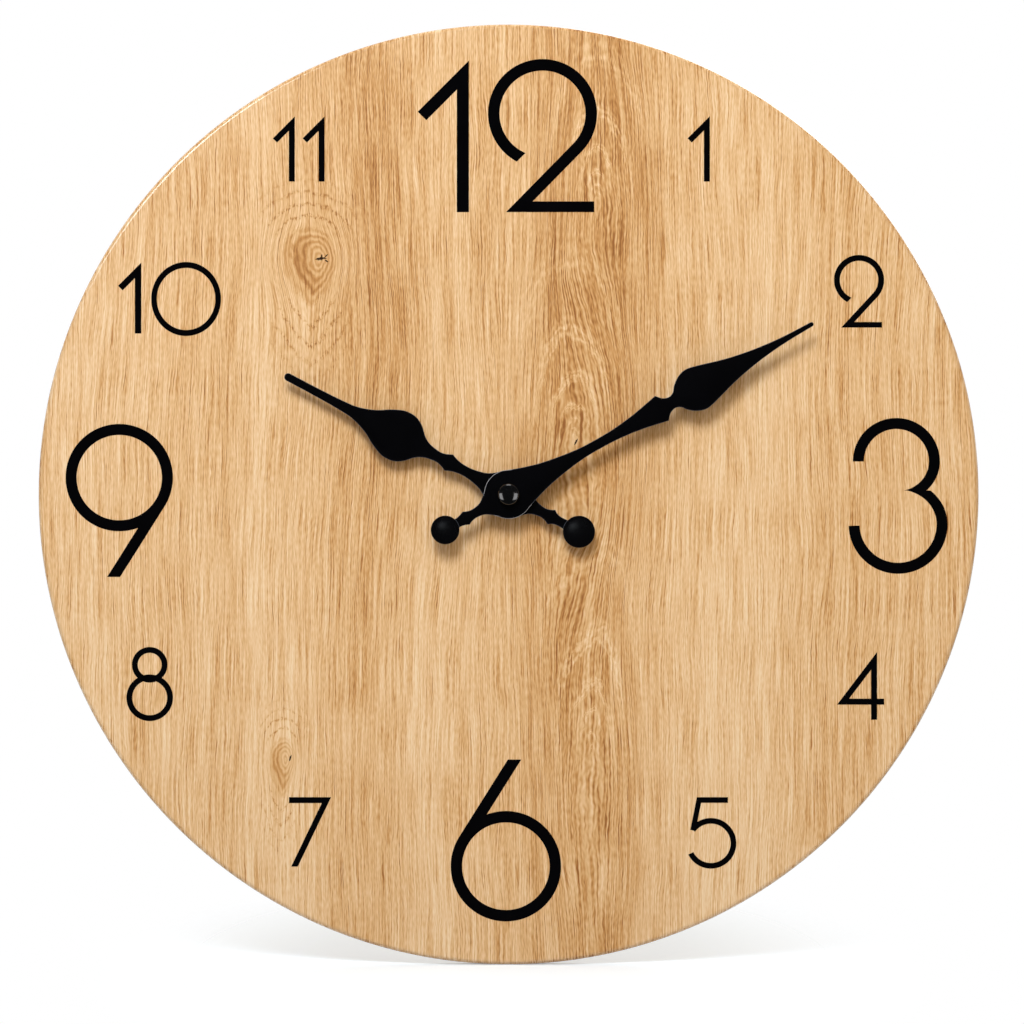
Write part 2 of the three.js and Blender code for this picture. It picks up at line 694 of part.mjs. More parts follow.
function movementCase() {
  const outline = roundedRectangle(-caseHalfWidth, caseHalfWidth, caseBottom, caseTop, caseCorner);
  const shell = slab(outline, 0, caseDepth, 4);
  const half = insideHalfWidth;
  const pocket = block(-half, half, -cutPast, caseInside, -pocketBelow, pocketAbove);
  const bay = block(-half, half, -cutPast, caseDepth - bayFloor, bayBottom, bayTop);
  const hole = rod(bushingRadius + slipGap, caseInside - cutPast, caseDepth + cutPast, 24);
  const thumbNotch = rodAlongZ(thumbNotchRadius, caseBottom - cutPast, bayBottom + cutPast, 0, 0);
  const hollow = cutBy(shell, pocket, bay, hole, thumbNotch, ...clipWindows(), ...contactSlots());
  const posts = [
    ...platePosts.map((axis) => pinnedPost(axis, plateLayer.rear, plateLayer.front)),
    ...circuitPosts.map((axis) => pinnedPost(axis, plateLayer.rear, plateLayer.front)),
    ...motorPosts.map((axis) => pinnedPost(axis, stator.rear, core.front)),
  ];
  const bore = motionShaftRadius + turnGap;
  const bearing = tube(bore + bearingWall, bore, caseInside - bearingLength, caseInside + joinDepth, 12);
  const hanger = slab(hangerOutline(), 0, hangerThickness, 5);
  const seatRing = tube(seatRingRadius, seatRingRadius - seatRingWidth,
    caseDepth - joinDepth, caseDepth + seatRingHeight, 24);
  const solid = joined(hollow, hanger, seatRing, ...posts, carriedTo(bearing, motionAxis), ...bayCradles());
  return part("movement_case", solid, blackPlastic, 0.55);
}

// Ribs on the floor of the bay, hollowed to the battery's round side
const bayCradles = () =>
  cradleRibs.map((middle) => {
    const [left, right] = sides.map((side) => middle + (side * cradleRibThickness) / 2);
    const rib = block(left, right, batteryDepth + batteryDiameter / 4, caseDepth - bayFloor + joinDepth,
      bayBottom - joinDepth, bayTop + joinDepth);
    const hollow = rodAlongX(batteryDiameter / 2 + bayGap, left - cutPast, right + cutPast,
      batteryDepth, batteryHeight, 32);
    return cutBy(rib, hollow);
  });

// Windows in the side walls that the cover's clips snap into
const clipWindows = () =>
  clipHeights.map((height) =>
    block(-caseHalfWidth - cutPast, caseHalfWidth + cutPast,
      clipLength - clipBarbLength - slipGap, clipLength + slipGap,
      height - clipHalfHeight - slipGap, height + clipHalfHeight + slipGap));

// Slots in the wall above the bay that the contacts pass through
const contactSlots = () =>
  [-insideHalfWidth, insideHalfWidth - 3 * contactSheet].map((left) =>
    block(left, left + 3 * contactSheet, contactRear - slipGap, contactFront + slipGap,
      bayTop - cutPast, cutPast - pocketBelow));

// Rear cover: a plate over the mechanism with the knob's pocket, the pivots' bosses, posts and clips
function rearCover() {
  const half = insideHalfWidth - slipGap;
  const outline = roundedRectangle(-half, half, slipGap - pocketBelow, pocketAbove - slipGap, coverCorner);
  const plate = slab(outline, 0, coverThickness, 2);
  const cup = carriedTo(rod(knobPocket + knobPocketWall, 0, pocketFloorFront, 24), motionAxis);
  const bosses = pivotAxes.map((axis) => carriedTo(rod(bossRadius, coverThickness / 2, bossFront, 8), axis));
  const presses = [
    ...platePosts.map((axis) => press(axis, plateLayer.rear)),
    ...motorPosts.map((axis) => press(axis, stator.rear)),
  ];
  const clips = clipHeights.flatMap((height) => sides.map((side) => clip(side, height)));
  const hollows = [
    carriedTo(rod(knobPocket, -cutPast, pocketFloorRear, 24), motionAxis),
    carriedTo(rod(motionShaftRadius + turnGap, 0, pocketFloorFront + cutPast), motionAxis),
    ...pivotAxes.map((axis) =>
      carriedTo(rod(pivotRadius + turnGap, pivotRear - layerGap, bossFront + cutPast), axis)),
  ];
  const solid = cutBy(joined(plate, cup, ...bosses, ...presses, ...clips), ...hollows);
  return part("rear_cover", solid, blackPlastic, 0.5);
}

// A post of the cover that presses a piece onto its own post in the case
const press = (axis, face) => carriedTo(rod(postRadius, coverThickness / 2, face - seatGap, 8), axis);

function clip(side, height) {
  const outside = side * (insideHalfWidth - slipGap);
  const inside = outside - side * clipThickness;
  const barb = outside + side * clipBarb;
  const [bottom, top] = [height - clipHalfHeight, height + clipHalfHeight];
  const leg = block(Math.min(inside, outside), Math.max(inside, outside),
    coverThickness / 2, clipLength, bottom, top);
  const hook = block(Math.min(inside, barb), Math.max(inside, barb),
    clipLength - clipBarbLength, clipLength, bottom, top);
  return leg.add(hook);
}

// Middle plate: carries the front pivots of the train
function middlePlate() {
  const top = coilHeight - coilFlangeRadius - plateEdgeGap;
  const outline = roundedRectangle(plateLeft, plateRight, plateEdgeGap - pocketBelow, top, plateCorner);
  const sheet = slab(outline, plateLayer.rear, plateLayer.front, 4);
  const bore = (axis, radius) =>
    carriedTo(rod(radius, plateLayer.rear - cutPast, plateLayer.front + cutPast), axis);
  const bores = [
    bore(centreAxis, minuteArborRadius + turnGap),
    bore(motionAxis, motionShaftRadius + turnGap),
    ...pivotAxes.slice(1).map((axis) => bore(axis, pivotRadius + turnGap)),
    ...platePosts.map((axis) => bore(axis, pinRadius + slipGap)),
  ];
  return part("middle_plate", cutBy(sheet, ...bores), whitePlastic, 0.5);
}

// Arbors, wheels and pinions

// The minute arbor carries the cannon pinion behind, and the minute hand on its flattened end.
function minuteArbor() {
  const shoulder = minuteHandRear - seatGap;
  const gear = gearSolid(motionMesh.pinion, 0,
    motionLayer.rear - pinionOverlap, motionLayer.front + pinionOverlap);
  const solid = joined(
    rod(minuteArborRadius, clutchLayer.rear, shoulder, 16),
    flattenedRod(minuteArborRadius, minuteArborRadius - minuteFlatGap,
      shoulder - joinDepth, minuteHandFront + seatGap / 2).rotate([0, minuteBearing, 0]),
    rod(minuteThreadRadius, minuteHandFront, minuteThreadFront, 16),
    gear,
  );
  const bore = rod(secondsArborRadius + turnGap, clutchLayer.rear - cutPast, minuteThreadFront + cutPast);
  return part("minute_arbor", cutBy(solid, bore), brass, 0.35, 1);
}

// Three-armed spring washer, pressed on the minute arbor behind the drive wheel
function clutchSpring() {
  const points = [];
  const steps = clutchSpringArms * 10;
  for (let step = 0; step < steps; step++) {
    const bearing = (2 * Math.PI * step) / steps;
    const drawnIn = clutchSpringWave * (1 - Math.cos(clutchSpringArms * bearing));
    points.push(polar(clutchSpringRadius * (1 - drawnIn), bearing));
  }
  const star = slab(new THREE.Shape(points), clutchLayer.rear, clutchLayer.front);
  const bore = rod(minuteArborRadius + seatGap, clutchLayer.rear - cutPast, clutchLayer.front + cutPast, 16);
  return part("clutch_spring", cutBy(star, bore), steel, 0.3, 1);
}

// A wheel's front face is sunk between a hub round its axis and a rim under its teeth.
function webbedWheel(gear, phase, { rear, front }, hubInside) {
  const recess = tube(rootRadius(gear) - webRim, hubInside + webHub, front - webRecess, front + cutPast);
  return cutBy(gearSolid(gear, phase, rear, front), recess);
}

function centreDriveWheel() {
  const boreRadius = minuteArborRadius + turnGap;
  const wheel = webbedWheel(centreMesh.wheel, 0, centreLayer, boreRadius);
  const bore = rod(boreRadius, centreLayer.rear - cutPast, centreLayer.front + cutPast, 16);
  return part("centre_drive_wheel", cutBy(wheel, bore), whitePlastic, 0.45);
}

// A wheel moulded with the pinion in front of it and an arbor with a pivot at each end
function wheelWithPinion(name, axis, wheel, pinion, arborFront) {
  const solid = joined(
    webbedWheel(wheel.gear, wheel.phase, wheel.layer, tipRadius(pinion.gear)),
    gearSolid(pinion.gear, pinion.phase, wheel.layer.front - joinDepth, pinion.layer.front + pinionOverlap),
    rod(pivotRadius, pivotRear, arborFront),
  );
  return part(name, carriedTo(solid, axis), whitePlastic, 0.45);
}

const thirdWheel = () =>
  wheelWithPinion("third_wheel", thirdAxis,
    { gear: thirdMesh.wheel, phase: 0, layer: thirdLayer },
    { gear: centreMesh.pinion, phase: thirdPinionPhase, layer: centreLayer },
    plateLayer.front);

// The seconds arbor runs through the minute arbor and ends under the cap nut.
const secondsWheel = () =>
  wheelWithPinion("seconds_wheel", centreAxis,
    { gear: secondsMesh.wheel, phase: 0, layer: secondsLayer },
    { gear: thirdMesh.pinion, phase: secondsPinionPhase, layer: thirdLayer },
    minuteThreadFront);

const intermediateWheel = () =>
  wheelWithPinion("intermediate_wheel", intermediateAxis,
    { gear: rotorMesh.wheel, phase: 0, layer: intermediateLayer },
    { gear: secondsMesh.pinion, phase: intermediatePinionPhase, layer: secondsLayer },
    plateLayer.front);

const magnetRear = intermediateLayer.front + 2 * layerGap;

function rotorPinion() {
  const rear = intermediateLayer.rear - pinionOverlap;
  const solid = joined(
    gearSolid(rotorMesh.pinion, rotorPinionPhase, rear, magnetRear - seatGap),
    rod(pivotRadius, pivotRear, plateLayer.front),
  );
  return part("rotor_pinion", carriedTo(solid, rotorAxis), whitePlastic, 0.45);
}

function rotorMagnet() {
  const magnet = tube(magnetRadius, pivotRadius + seatGap, magnetRear, magnetRear + magnetLength);
  return part("rotor_magnet", carriedTo(magnet, rotorAxis), ferrite, 0.5, 0.6);
}

function hourWheel() {
  const solid = joined(
    webbedWheel(hourMesh.wheel, hourWheelPhase, hourLayer, hourPipeRadius),
    rod(hourPipeRadius, hourLayer.rear, hourHandFront + layerGap, 20),
  );
  const bore = rod(minuteArborRadius + turnGap, hourLayer.rear - cutPast, hourHandFront + cutPast, 16);
  return part("hour_wheel", cutBy(solid, bore), whitePlastic, 0.45);
}

function motionWheel() {
  const solid = joined(
    webbedWheel(motionMesh.wheel, motionWheelPhase, motionLayer, tipRadius(hourMesh.pinion)),
    gearSolid(hourMesh.pinion, 0, motionLayer.front - joinDepth, hourLayer.front + pinionOverlap),
  );
  const bore = rod(motionShaftRadius + seatGap, motionLayer.rear - cutPast, hourLayer.front + cutPast);
  return part("motion_wheel", carriedTo(cutBy(solid, bore), motionAxis), whitePlastic, 0.45);
}

// Setting knob, with ridges round its edge and a shaft through to the motion wheel
function settingKnob() {
  const points = [];
  for (let step = 0; step < knobRidges * 4; step++) {
    const bearing = (2 * Math.PI * step) / (knobRidges * 4);
    points.push(polar(knobRadius - knobRidgeDepth * Math.sin((knobRidges * bearing) / 2) ** 2, bearing));
  }
  const head = slab(new THREE.Shape(points), knobSunk, knobSunk + knobThickness);
  const shaft = rod(motionShaftRadius, knobSunk + knobThickness / 2, caseInside - layerGap);
  return part("setting_knob", carriedTo(joined(head, shaft), motionAxis), blackPlastic, 0.5);
}

// Stepping motor

// One half of the stator: a leg under the core, a bar and its side of the ring round the magnet
function statorHalf(name, side) {
  const post = side < 0 ? motorPosts[0] : motorPosts[1];
  const { rear, front } = stator;
  const [near, far] = [rotorAxis.x, post.x + (side * legWidth) / 2];
  const bar = block(Math.min(near, far), Math.max(near, far), rear, front, barBottom, barBottom + barWidth);
  const leg = block(post.x - legWidth / 2, post.x + legWidth / 2, rear, front,
    barBottom, post.y + legWidth / 2);
  const ring = carriedTo(rod(statorHole + statorWall, rear, front, 24), rotorAxis);
  const hole = carriedTo(rod(statorHole, rear - cutPast, front + cutPast, 24), rotorAxis);
  const slitEdge = rotorAxis.x + (side * statorSlit) / 2;
  const otherEdge = rotorAxis.x - side * 2 * statorHole;
  const otherSide = block(Math.min(slitEdge, otherEdge), Math.max(slitEdge, otherEdge),
    rear - cutPast, front + cutPast, rotorAxis.y - 2 * statorHole, rotorAxis.y + 2 * statorHole);
  const pinHole = carriedTo(rod(pinRadius + slipGap, rear - cutPast, front + cutPast, 8), post);
  return part(name, cutBy(joined(bar, leg, ring), hole, otherSide, pinHole), steel, 0.4, 1);
}

function coilCore() {
  const bar = block(motorMiddle - coreHalfLength, motorMiddle + coreHalfLength,
    core.rear, core.front, coilHeight - coreWidth / 2, coilHeight + coreWidth / 2);
  const pinHoles = motorPosts.map((axis) =>
    carriedTo(rod(pinRadius + slipGap, core.rear - cutPast, core.front + cutPast, 8), axis));
  return part("coil_core", cutBy(bar, ...pinHoles), steel, 0.4, 1);
}

const coreDepth = (core.rear + core.front) / 2;

// A round piece along the coil, from the middle out to the same distance each way
const roundAlongCoil = (radius, from, to) =>
  rodAlongX(radius, motorMiddle + from, motorMiddle + to, coreDepth, coilHeight);

function coilBobbin() {
  const length = coilHalfLength;
  const solid = joined(
    roundAlongCoil(coilBarrelRadius, -length, length),
    roundAlongCoil(coilFlangeRadius, -length, coilFlange - length),
    roundAlongCoil(coilFlangeRadius, length - coilFlange, length),
  );
  const bore = block(motorMiddle - length - cutPast, motorMiddle + length + cutPast,
    core.rear - slipGap, core.front + slipGap,
    coilHeight - coreWidth / 2 - slipGap, coilHeight + coreWidth / 2 + slipGap);
  return part("coil_bobbin", cutBy(solid, bore), whitePlastic, 0.5);
}

function coilWinding() {
  const length = coilHalfLength - coilFlange - seatGap;
  const outside = roundAlongCoil(coilBarrelRadius + windingBuild, -length, length);
  const inside = roundAlongCoil(coilBarrelRadius + seatGap, -length - cutPast, length + cutPast);
  return part("coil_winding", outside.subtract(inside), copper, 0.4, 0.7);
}

// Circuit board with its sealed chip and its quartz crystal

function circuitBoard() {
  const board = block(circuitLeft, circuitRight, plateLayer.rear, plateLayer.front,
    circuitBottom, circuitTop);
  const holes = circuitPosts.map((axis) =>
    carriedTo(rod(pinRadius + slipGap, plateLayer.rear - cutPast, plateLayer.front + cutPast, 8), axis));
  return part("circuit_board", cutBy(board, ...holes), laminate, 0.5);
}

function chipSeal() {
  const base = plateLayer.rear - seatGap;
  const profile = [0, 1, 2, 3].map((step) => {
    const angle = (Math.PI / 2) * (step / 4);
    return [chipRadius * Math.cos(angle), base - chipRise * Math.sin(angle)];
  });
  const drop = turned([[0, base], ...profile, [0, base - chipRise]], 20);
  return part("chip_seal", carriedTo(drop, new THREE.Vector2(circuitMiddle, chipHeight)), resin, 0.4);
}

function quartzCrystal() {
  const depth = plateLayer.rear - seatGap - crystalRadius;
  const across = circuitMiddle - crystalOffset;
  const can = rodAlongZ(crystalRadius, crystalBottom, crystalBottom + crystalLength, across, depth, 16);
  return part("quartz_crystal", can, steel, 0.3, 1);
}

// Battery and its contacts

function batteryCell() {
  const can = rodAlongX(batteryDiameter / 2, batteryLeft, batteryRight - batteryNub,
    batteryDepth, batteryHeight, 32);
  const nub = rodAlongX(batteryNubRadius, batteryRight - batteryNub - joinDepth, batteryRight,
    batteryDepth, batteryHeight, 16);
  return part("battery_cell", can.add(nub), batteryJacket, 0.35, 0.5);
}

// Upright plate of a contact at one end of the bay, with the strip that rises through the wall's slot
function contactPlate(left, stripTop) {
  const right = left + contactSheet;
  const plate = block(left, right, batteryDepth - contactHalfHeight, contactFront,
    batteryHeight - contactHalfHeight, batteryHeight + contactHalfHeight);
  const strip = block(left, right, contactRear, contactFront, batteryHeight, stripTop);
  return plate.add(strip);
}

function contactPositive() {
  const left = insideHalfWidth - seatGap - contactSheet;
  const bump = rodAlongX(batteryNubRadius, left - contactBump, left + joinDepth,
    batteryDepth, batteryHeight, 16);
  const solid = contactPlate(left, circuitBottom + positiveTabRise).add(bump);
  return part("contact_positive", solid, steel, 0.3, 1);
}

// Spiral that narrows from the contact plate towards the battery
class ContactSpiral extends THREE.Curve {
  getPoint(t) {
    const angle = 2 * Math.PI * springTurns * t;
    const radius = springRadius + (springEndRadius - springRadius) * t;
    const start = seatGap + contactSheet - insideHalfWidth;
    const along = start + (springLength - springWireRadius) * t;
    const depth = batteryDepth - radius * Math.cos(angle);
    return new THREE.Vector3(along, -depth, batteryHeight + radius * Math.sin(angle));
  }
}

function contactNegative() {
  const wire = new THREE.Shape().absarc(0, 0, springWireRadius, 0, 2 * Math.PI);
  const path = new ContactSpiral();
  const spring = new THREE.ExtrudeGeometry(wire, { extrudePath: path, steps: 36, curveSegments: 4 });
  const left = seatGap - insideHalfWidth;
  const strip = { bottom: seatGap - pocketBelow, right: circuitLeft - seatGap };
  const run = block(left, strip.right, contactRear, contactFront, strip.bottom, strip.bottom + contactSheet);
  const rise = block(strip.right - contactSheet, strip.right, contactRear, contactFront,
    strip.bottom, circuitBottom + negativeTabRise);
  const solid = joined(contactPlate(left, strip.bottom + contactSheet), run, rise, solidOf(spring));
  return part("contact_negative", solid, steel, 0.3, 1);
}

const clock = new THREE.Group();
clock.name = "wall_clock";
clock.add(
  dialBoard(), hourHand(), hourHandCollet(), minuteHand(), capNut(),
  threadedBushing(), rubberWasher(), flatWasher(), hexNut(),
  movementCase(), rearCover(), middlePlate(),
  minuteArbor(), clutchSpring(), centreDriveWheel(), thirdWheel(), secondsWheel(), intermediateWheel(),
  rotorPinion(), rotorMagnet(), hourWheel(), motionWheel(), settingKnob(),
  statorHalf("stator_left", -1), statorHalf("stator_right", 1), coilCore(), coilBobbin(), coilWinding(),
  circuitBoard(), chipSeal(), quartzCrystal(),
  batteryCell(), contactPositive(), contactNegative(),
);
export default clock;
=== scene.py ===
"""Dresses a round wooden wall clock round its fixed frame and lights it for a studio picture.

The frame is in metres, with +Z up and the dial facing -Y. Shapes are drawn in millimetres as the dial
is seen: X to the right, Z up, and depth in front of the wall plane. They become metres when a piece is
finished. A bearing is an angle clockwise from 12 o'clock, in degrees.
"""

import logging
import math
from collections.abc import Callable, Iterable, Sequence
from dataclasses import dataclass, field
from enum import Enum
from functools import partialmethod

import bmesh
import bpy
from bmesh.types import BMesh
from mathutils import Matrix, Vector


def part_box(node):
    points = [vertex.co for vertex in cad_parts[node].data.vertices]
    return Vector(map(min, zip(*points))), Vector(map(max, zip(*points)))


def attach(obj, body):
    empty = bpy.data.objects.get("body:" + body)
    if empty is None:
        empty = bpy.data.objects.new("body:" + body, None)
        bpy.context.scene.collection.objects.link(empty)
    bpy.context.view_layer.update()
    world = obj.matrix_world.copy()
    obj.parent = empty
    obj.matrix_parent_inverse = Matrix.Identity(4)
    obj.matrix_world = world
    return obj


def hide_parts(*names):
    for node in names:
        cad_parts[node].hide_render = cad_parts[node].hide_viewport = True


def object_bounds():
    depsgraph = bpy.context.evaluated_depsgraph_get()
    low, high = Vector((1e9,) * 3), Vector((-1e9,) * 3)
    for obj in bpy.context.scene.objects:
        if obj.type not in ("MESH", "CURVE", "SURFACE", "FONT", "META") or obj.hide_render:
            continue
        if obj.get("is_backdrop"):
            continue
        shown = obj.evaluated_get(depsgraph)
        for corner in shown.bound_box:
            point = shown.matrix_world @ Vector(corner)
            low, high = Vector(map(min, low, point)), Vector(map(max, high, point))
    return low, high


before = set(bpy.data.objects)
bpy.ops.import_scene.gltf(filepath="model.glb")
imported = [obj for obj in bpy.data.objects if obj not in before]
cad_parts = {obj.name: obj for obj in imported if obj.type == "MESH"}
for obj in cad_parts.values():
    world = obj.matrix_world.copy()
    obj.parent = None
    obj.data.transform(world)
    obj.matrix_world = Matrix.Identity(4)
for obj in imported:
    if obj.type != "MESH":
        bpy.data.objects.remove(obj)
CAD_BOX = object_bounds()

LOG = logging.getLogger("wall_clock")
MM = 0.001
MERGE = 1e-4
FLAT = math.radians(0.4)
LEVEL = 0.01
FACING = 0.9
Colour = tuple[float, float, float, float]
Place = tuple[float, float]


def front_of(node: str) -> float:
    """Gives how far a node reaches in front of the wall plane, in millimetres."""
    return -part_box(node)[0].y / MM


def rear_of(node: str) -> float:
    """Gives how far in front of the wall plane a node's rear lies, in millimetres."""
    return -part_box(node)[1].y / MM


def rgb(red: int, green: int, blue: int) -> Colour:
    """Turns a colour of 0 to 255 as it shows on a screen into the linear values of a shader.

    Args:
        red: The share of red, from 0 to 255.
        green: The share of green.
        blue: The share of blue.

    Returns:
        The linear colour, which is opaque.
    """
    shown = [channel / 255 for channel in (red, green, blue)]
    linear = [c / 12.92 if c <= 0.04045 else ((c + 0.055) / 1.055) ** 2.4 for c in shown]
    return (linear[0], linear[1], linear[2], 1.0)


def towards(bearing: float, distance: float, centre: Place = (0.0, 0.0)) -> Place:
    """Gives the place at a bearing and a distance from a centre, by default the hands' axis."""
    angle = math.radians(bearing)
    return (centre[0] + distance * math.sin(angle), centre[1] + distance * math.cos(angle))


def tinted(colour: Colour, factor: float) -> Colour:
    """Makes a colour darker or paler by a factor."""
    return (*(min(1.0, channel * factor) for channel in colour[:3]), 1.0)


def linked(name: str, data: bpy.types.ID) -> bpy.types.Object:
    """Makes an object of its data, and puts it in the scene.

    Args:
        name: The object's name.
        data: Its mesh, lamp or camera.

    Returns:
        The new object, at the origin.
    """
    made = bpy.data.objects.new(name, data)
    bpy.context.scene.collection.objects.link(made)
    return made


def meshed(name: str, shape: BMesh) -> bpy.types.Object:
    """Turns a shape into an object of the scene.

    Args:
        name: The name of the object and its mesh.
        shape: Its shape, which is used up.

    Returns:
        The new object.
    """
    mesh = bpy.data.meshes.new(name)
    shape.to_mesh(mesh)
    shape.free()
    return linked(name, mesh)


# Shader graphs

Socket = bpy.types.NodeSocket
Fed = Socket | float | Sequence[float]


class Graph:
    """Adds linked nodes to the tree of a material, a world or a node group."""

    def __init__(self, tree: bpy.types.NodeTree) -> None:
        """Takes the tree that the nodes go into."""
        self.tree = tree

    def feed(self, socket: Socket, value: Fed) -> None:
        """Links an output to a socket, or sets the socket's own value.

        Args:
            socket: The input socket.
            value: An output of another node, or a plain value.
        """
        if isinstance(value, bpy.types.NodeSocket):
            self.tree.links.new(value, socket)
        else:
            socket.default_value = value

    def add(self, kind: str, inputs: dict[str | int, Fed] | None = None,
            **settings: object) -> bpy.types.Node:
        """Adds one node.

        Args:
            kind: The node's type, without its ShaderNode prefix.
            inputs: What each named or numbered input gets.
            **settings: The node's own properties.

        Returns:
            The new node.
        """
        node = self.tree.nodes.new("ShaderNode" + kind)
        for name, value in settings.items():
            setattr(node, name, value)
        for key, value in (inputs or {}).items():
            self.feed(node.inputs[key], value)
        return node

    def math(self, operation: str, *values: Fed) -> Socket:
        """Works out a number from others. Scaled multiplies the first two and adds the third."""
        return self.add("Math", dict(enumerate(values)), operation=operation).outputs[0]

    plus = partialmethod(math, "ADD")
    minus = partialmethod(math, "SUBTRACT")
    times = partialmethod(math, "MULTIPLY")
    scaled = partialmethod(math, "MULTIPLY_ADD")
    over = partialmethod(math, "DIVIDE")
    largest = partialmethod(math, "MAXIMUM")
    absolute = partialmethod(math, "ABSOLUTE")
    sine = partialmethod(math, "SINE")

    def remap(self, value: Fed, low: float, high: float, to_low: float = 0.0, to_high: float = 1.0) -> Socket:
        """Maps a number smoothly from one range to another, and holds it there."""
        inputs = {0: value, 1: low, 2: high, 3: to_low, 4: to_high}
        return self.add("MapRange", inputs, interpolation_type="SMOOTHSTEP").outputs[0]

    def mix(self, factor: Fed, first: Fed, second: Fed, blend: str = "MIX") -> Socket:
        """Mixes two colours."""
        inputs = {0: factor, 6: first, 7: second}
        return self.add("Mix", inputs, data_type="RGBA", blend_type=blend).outputs[2]

    def ramp(self, factor: Fed, stops: Sequence[tuple[float, Colour]]) -> Socket:
        """Looks a colour up on a ramp.

        Args:
            factor: Where on the ramp, from 0 to 1.
            stops: The position and colour of each stop.

        Returns:
            The colour output.
        """
        node = self.add("ValToRGB", {0: factor})
        ramp = node.color_ramp
        while len(ramp.elements) < len(stops):
            ramp.elements.new(0.5)
        for element, (position, colour) in zip(ramp.elements, stops):
            element.position = position
            element.color = colour
        return node.outputs[0]

    def noise(self, vector: Fed, scale: Fed = 1.0, detail: float = 2.0, rough: float = 0.5) -> Socket:
        """Gives fractal noise from 0 to 1 at a place."""
        inputs = {"Vector": vector, "Scale": scale, "Detail": detail, "Roughness": rough}
        return self.add("TexNoise", inputs).outputs[0]

    def split(self, vector: Fed) -> tuple[Socket, Socket, Socket]:
        """Takes a vector apart."""
        outputs = self.add("SeparateXYZ", {0: vector}).outputs
        return outputs[0], outputs[1], outputs[2]

    def join(self, x: Fed, y: Fed, z: Fed) -> Socket:
        """Makes a vector of three numbers."""
        return self.add("CombineXYZ", {0: x, 1: y, 2: z}).outputs[0]

    def own_place(self) -> Socket:
        """Gives the place on the piece itself, in millimetres from the frame's origin."""
        place = self.add("TexCoord").outputs["Object"]
        return self.add("Mapping", {"Vector": place, "Scale": (1 / MM, 1 / MM, 1 / MM)}).outputs[0]

    def bump(self, height: Fed, distance: float, strength: float = 1.0) -> Socket:
        """Turns a height into a normal. The distance is in millimetres."""
        inputs = {"Height": height, "Distance": distance * MM, "Strength": strength}
        return self.add("Bump", inputs).outputs[0]

    def length(self, vector: Fed) -> Socket:
        """Gives a vector's length."""
        return self.add("VectorMath", {0: vector}, operation="LENGTH").outputs["Value"]


def bare_graph(owner: bpy.types.Material | bpy.types.World) -> Graph:
    """Gives the emptied graph of a material or of the surroundings.

    Args:
        owner: The material or the world.

    Returns:
        Its graph, without any node.
    """
    owner.use_nodes = True
    owner.node_tree.nodes.clear()
    return Graph(owner.node_tree)


class Effect:
    """A node group that several finishes share. It is built once and then placed in each material."""

    name: str
    inputs: dict[str, float | tuple[float, float, float]]
    outputs: tuple[str, ...]

    def draw(self, graph: Graph, given: dict[str, Socket]) -> dict[str, Socket]:
        """Adds the group's nodes.

        Args:
            graph: The group's own graph.
            given: The socket of each of its inputs.

        Returns:
            The socket that each of its outputs gets.
        """
        raise NotImplementedError

    def tree(self) -> bpy.types.NodeTree:
        """Gives the group's tree, and builds it if this is its first use.

        Returns:
            The tree of the node group.
        """
        found = bpy.data.node_groups.get(self.name)
        if found:
            return found
        tree = bpy.data.node_groups.new(self.name, "ShaderNodeTree")
        for label, value in self.inputs.items():
            kind = "NodeSocketVector" if isinstance(value, tuple) else "NodeSocketFloat"
            tree.interface.new_socket(label, in_out="INPUT", socket_type=kind).default_value = value
        for label in self.outputs:
            tree.interface.new_socket(label, in_out="OUTPUT", socket_type="NodeSocketFloat")
        graph = Graph(tree)
        given = {socket.name: socket for socket in tree.nodes.new("NodeGroupInput").outputs if socket.name}
        result = tree.nodes.new("NodeGroupOutput")
        for label, socket in self.draw(graph, given).items():
            tree.links.new(socket, result.inputs[label])
        return tree

    def place(self, graph: Graph, spot: "Whorl | Split | None" = None, **values: Fed) -> dict[str, Socket]:
        """Places the group in a graph.

        Args:
            graph: The graph that uses the effect.
            spot: A thing whose fields go to the inputs of the same names.
            **values: What the other inputs get, or get instead.

        Returns:
            The group's outputs by name.
        """
        node = graph.add("Group")
        node.node_tree = self.tree()
        given = {**(vars(spot) if spot else {}), **values}
        if "centre" in given:
            given["centre_across"], given["centre_along"] = given.pop("centre")
        for name, value in given.items():
            graph.feed(node.inputs[name.replace("_", " ").capitalize()], value)
        return {socket.name: socket for socket in node.outputs}


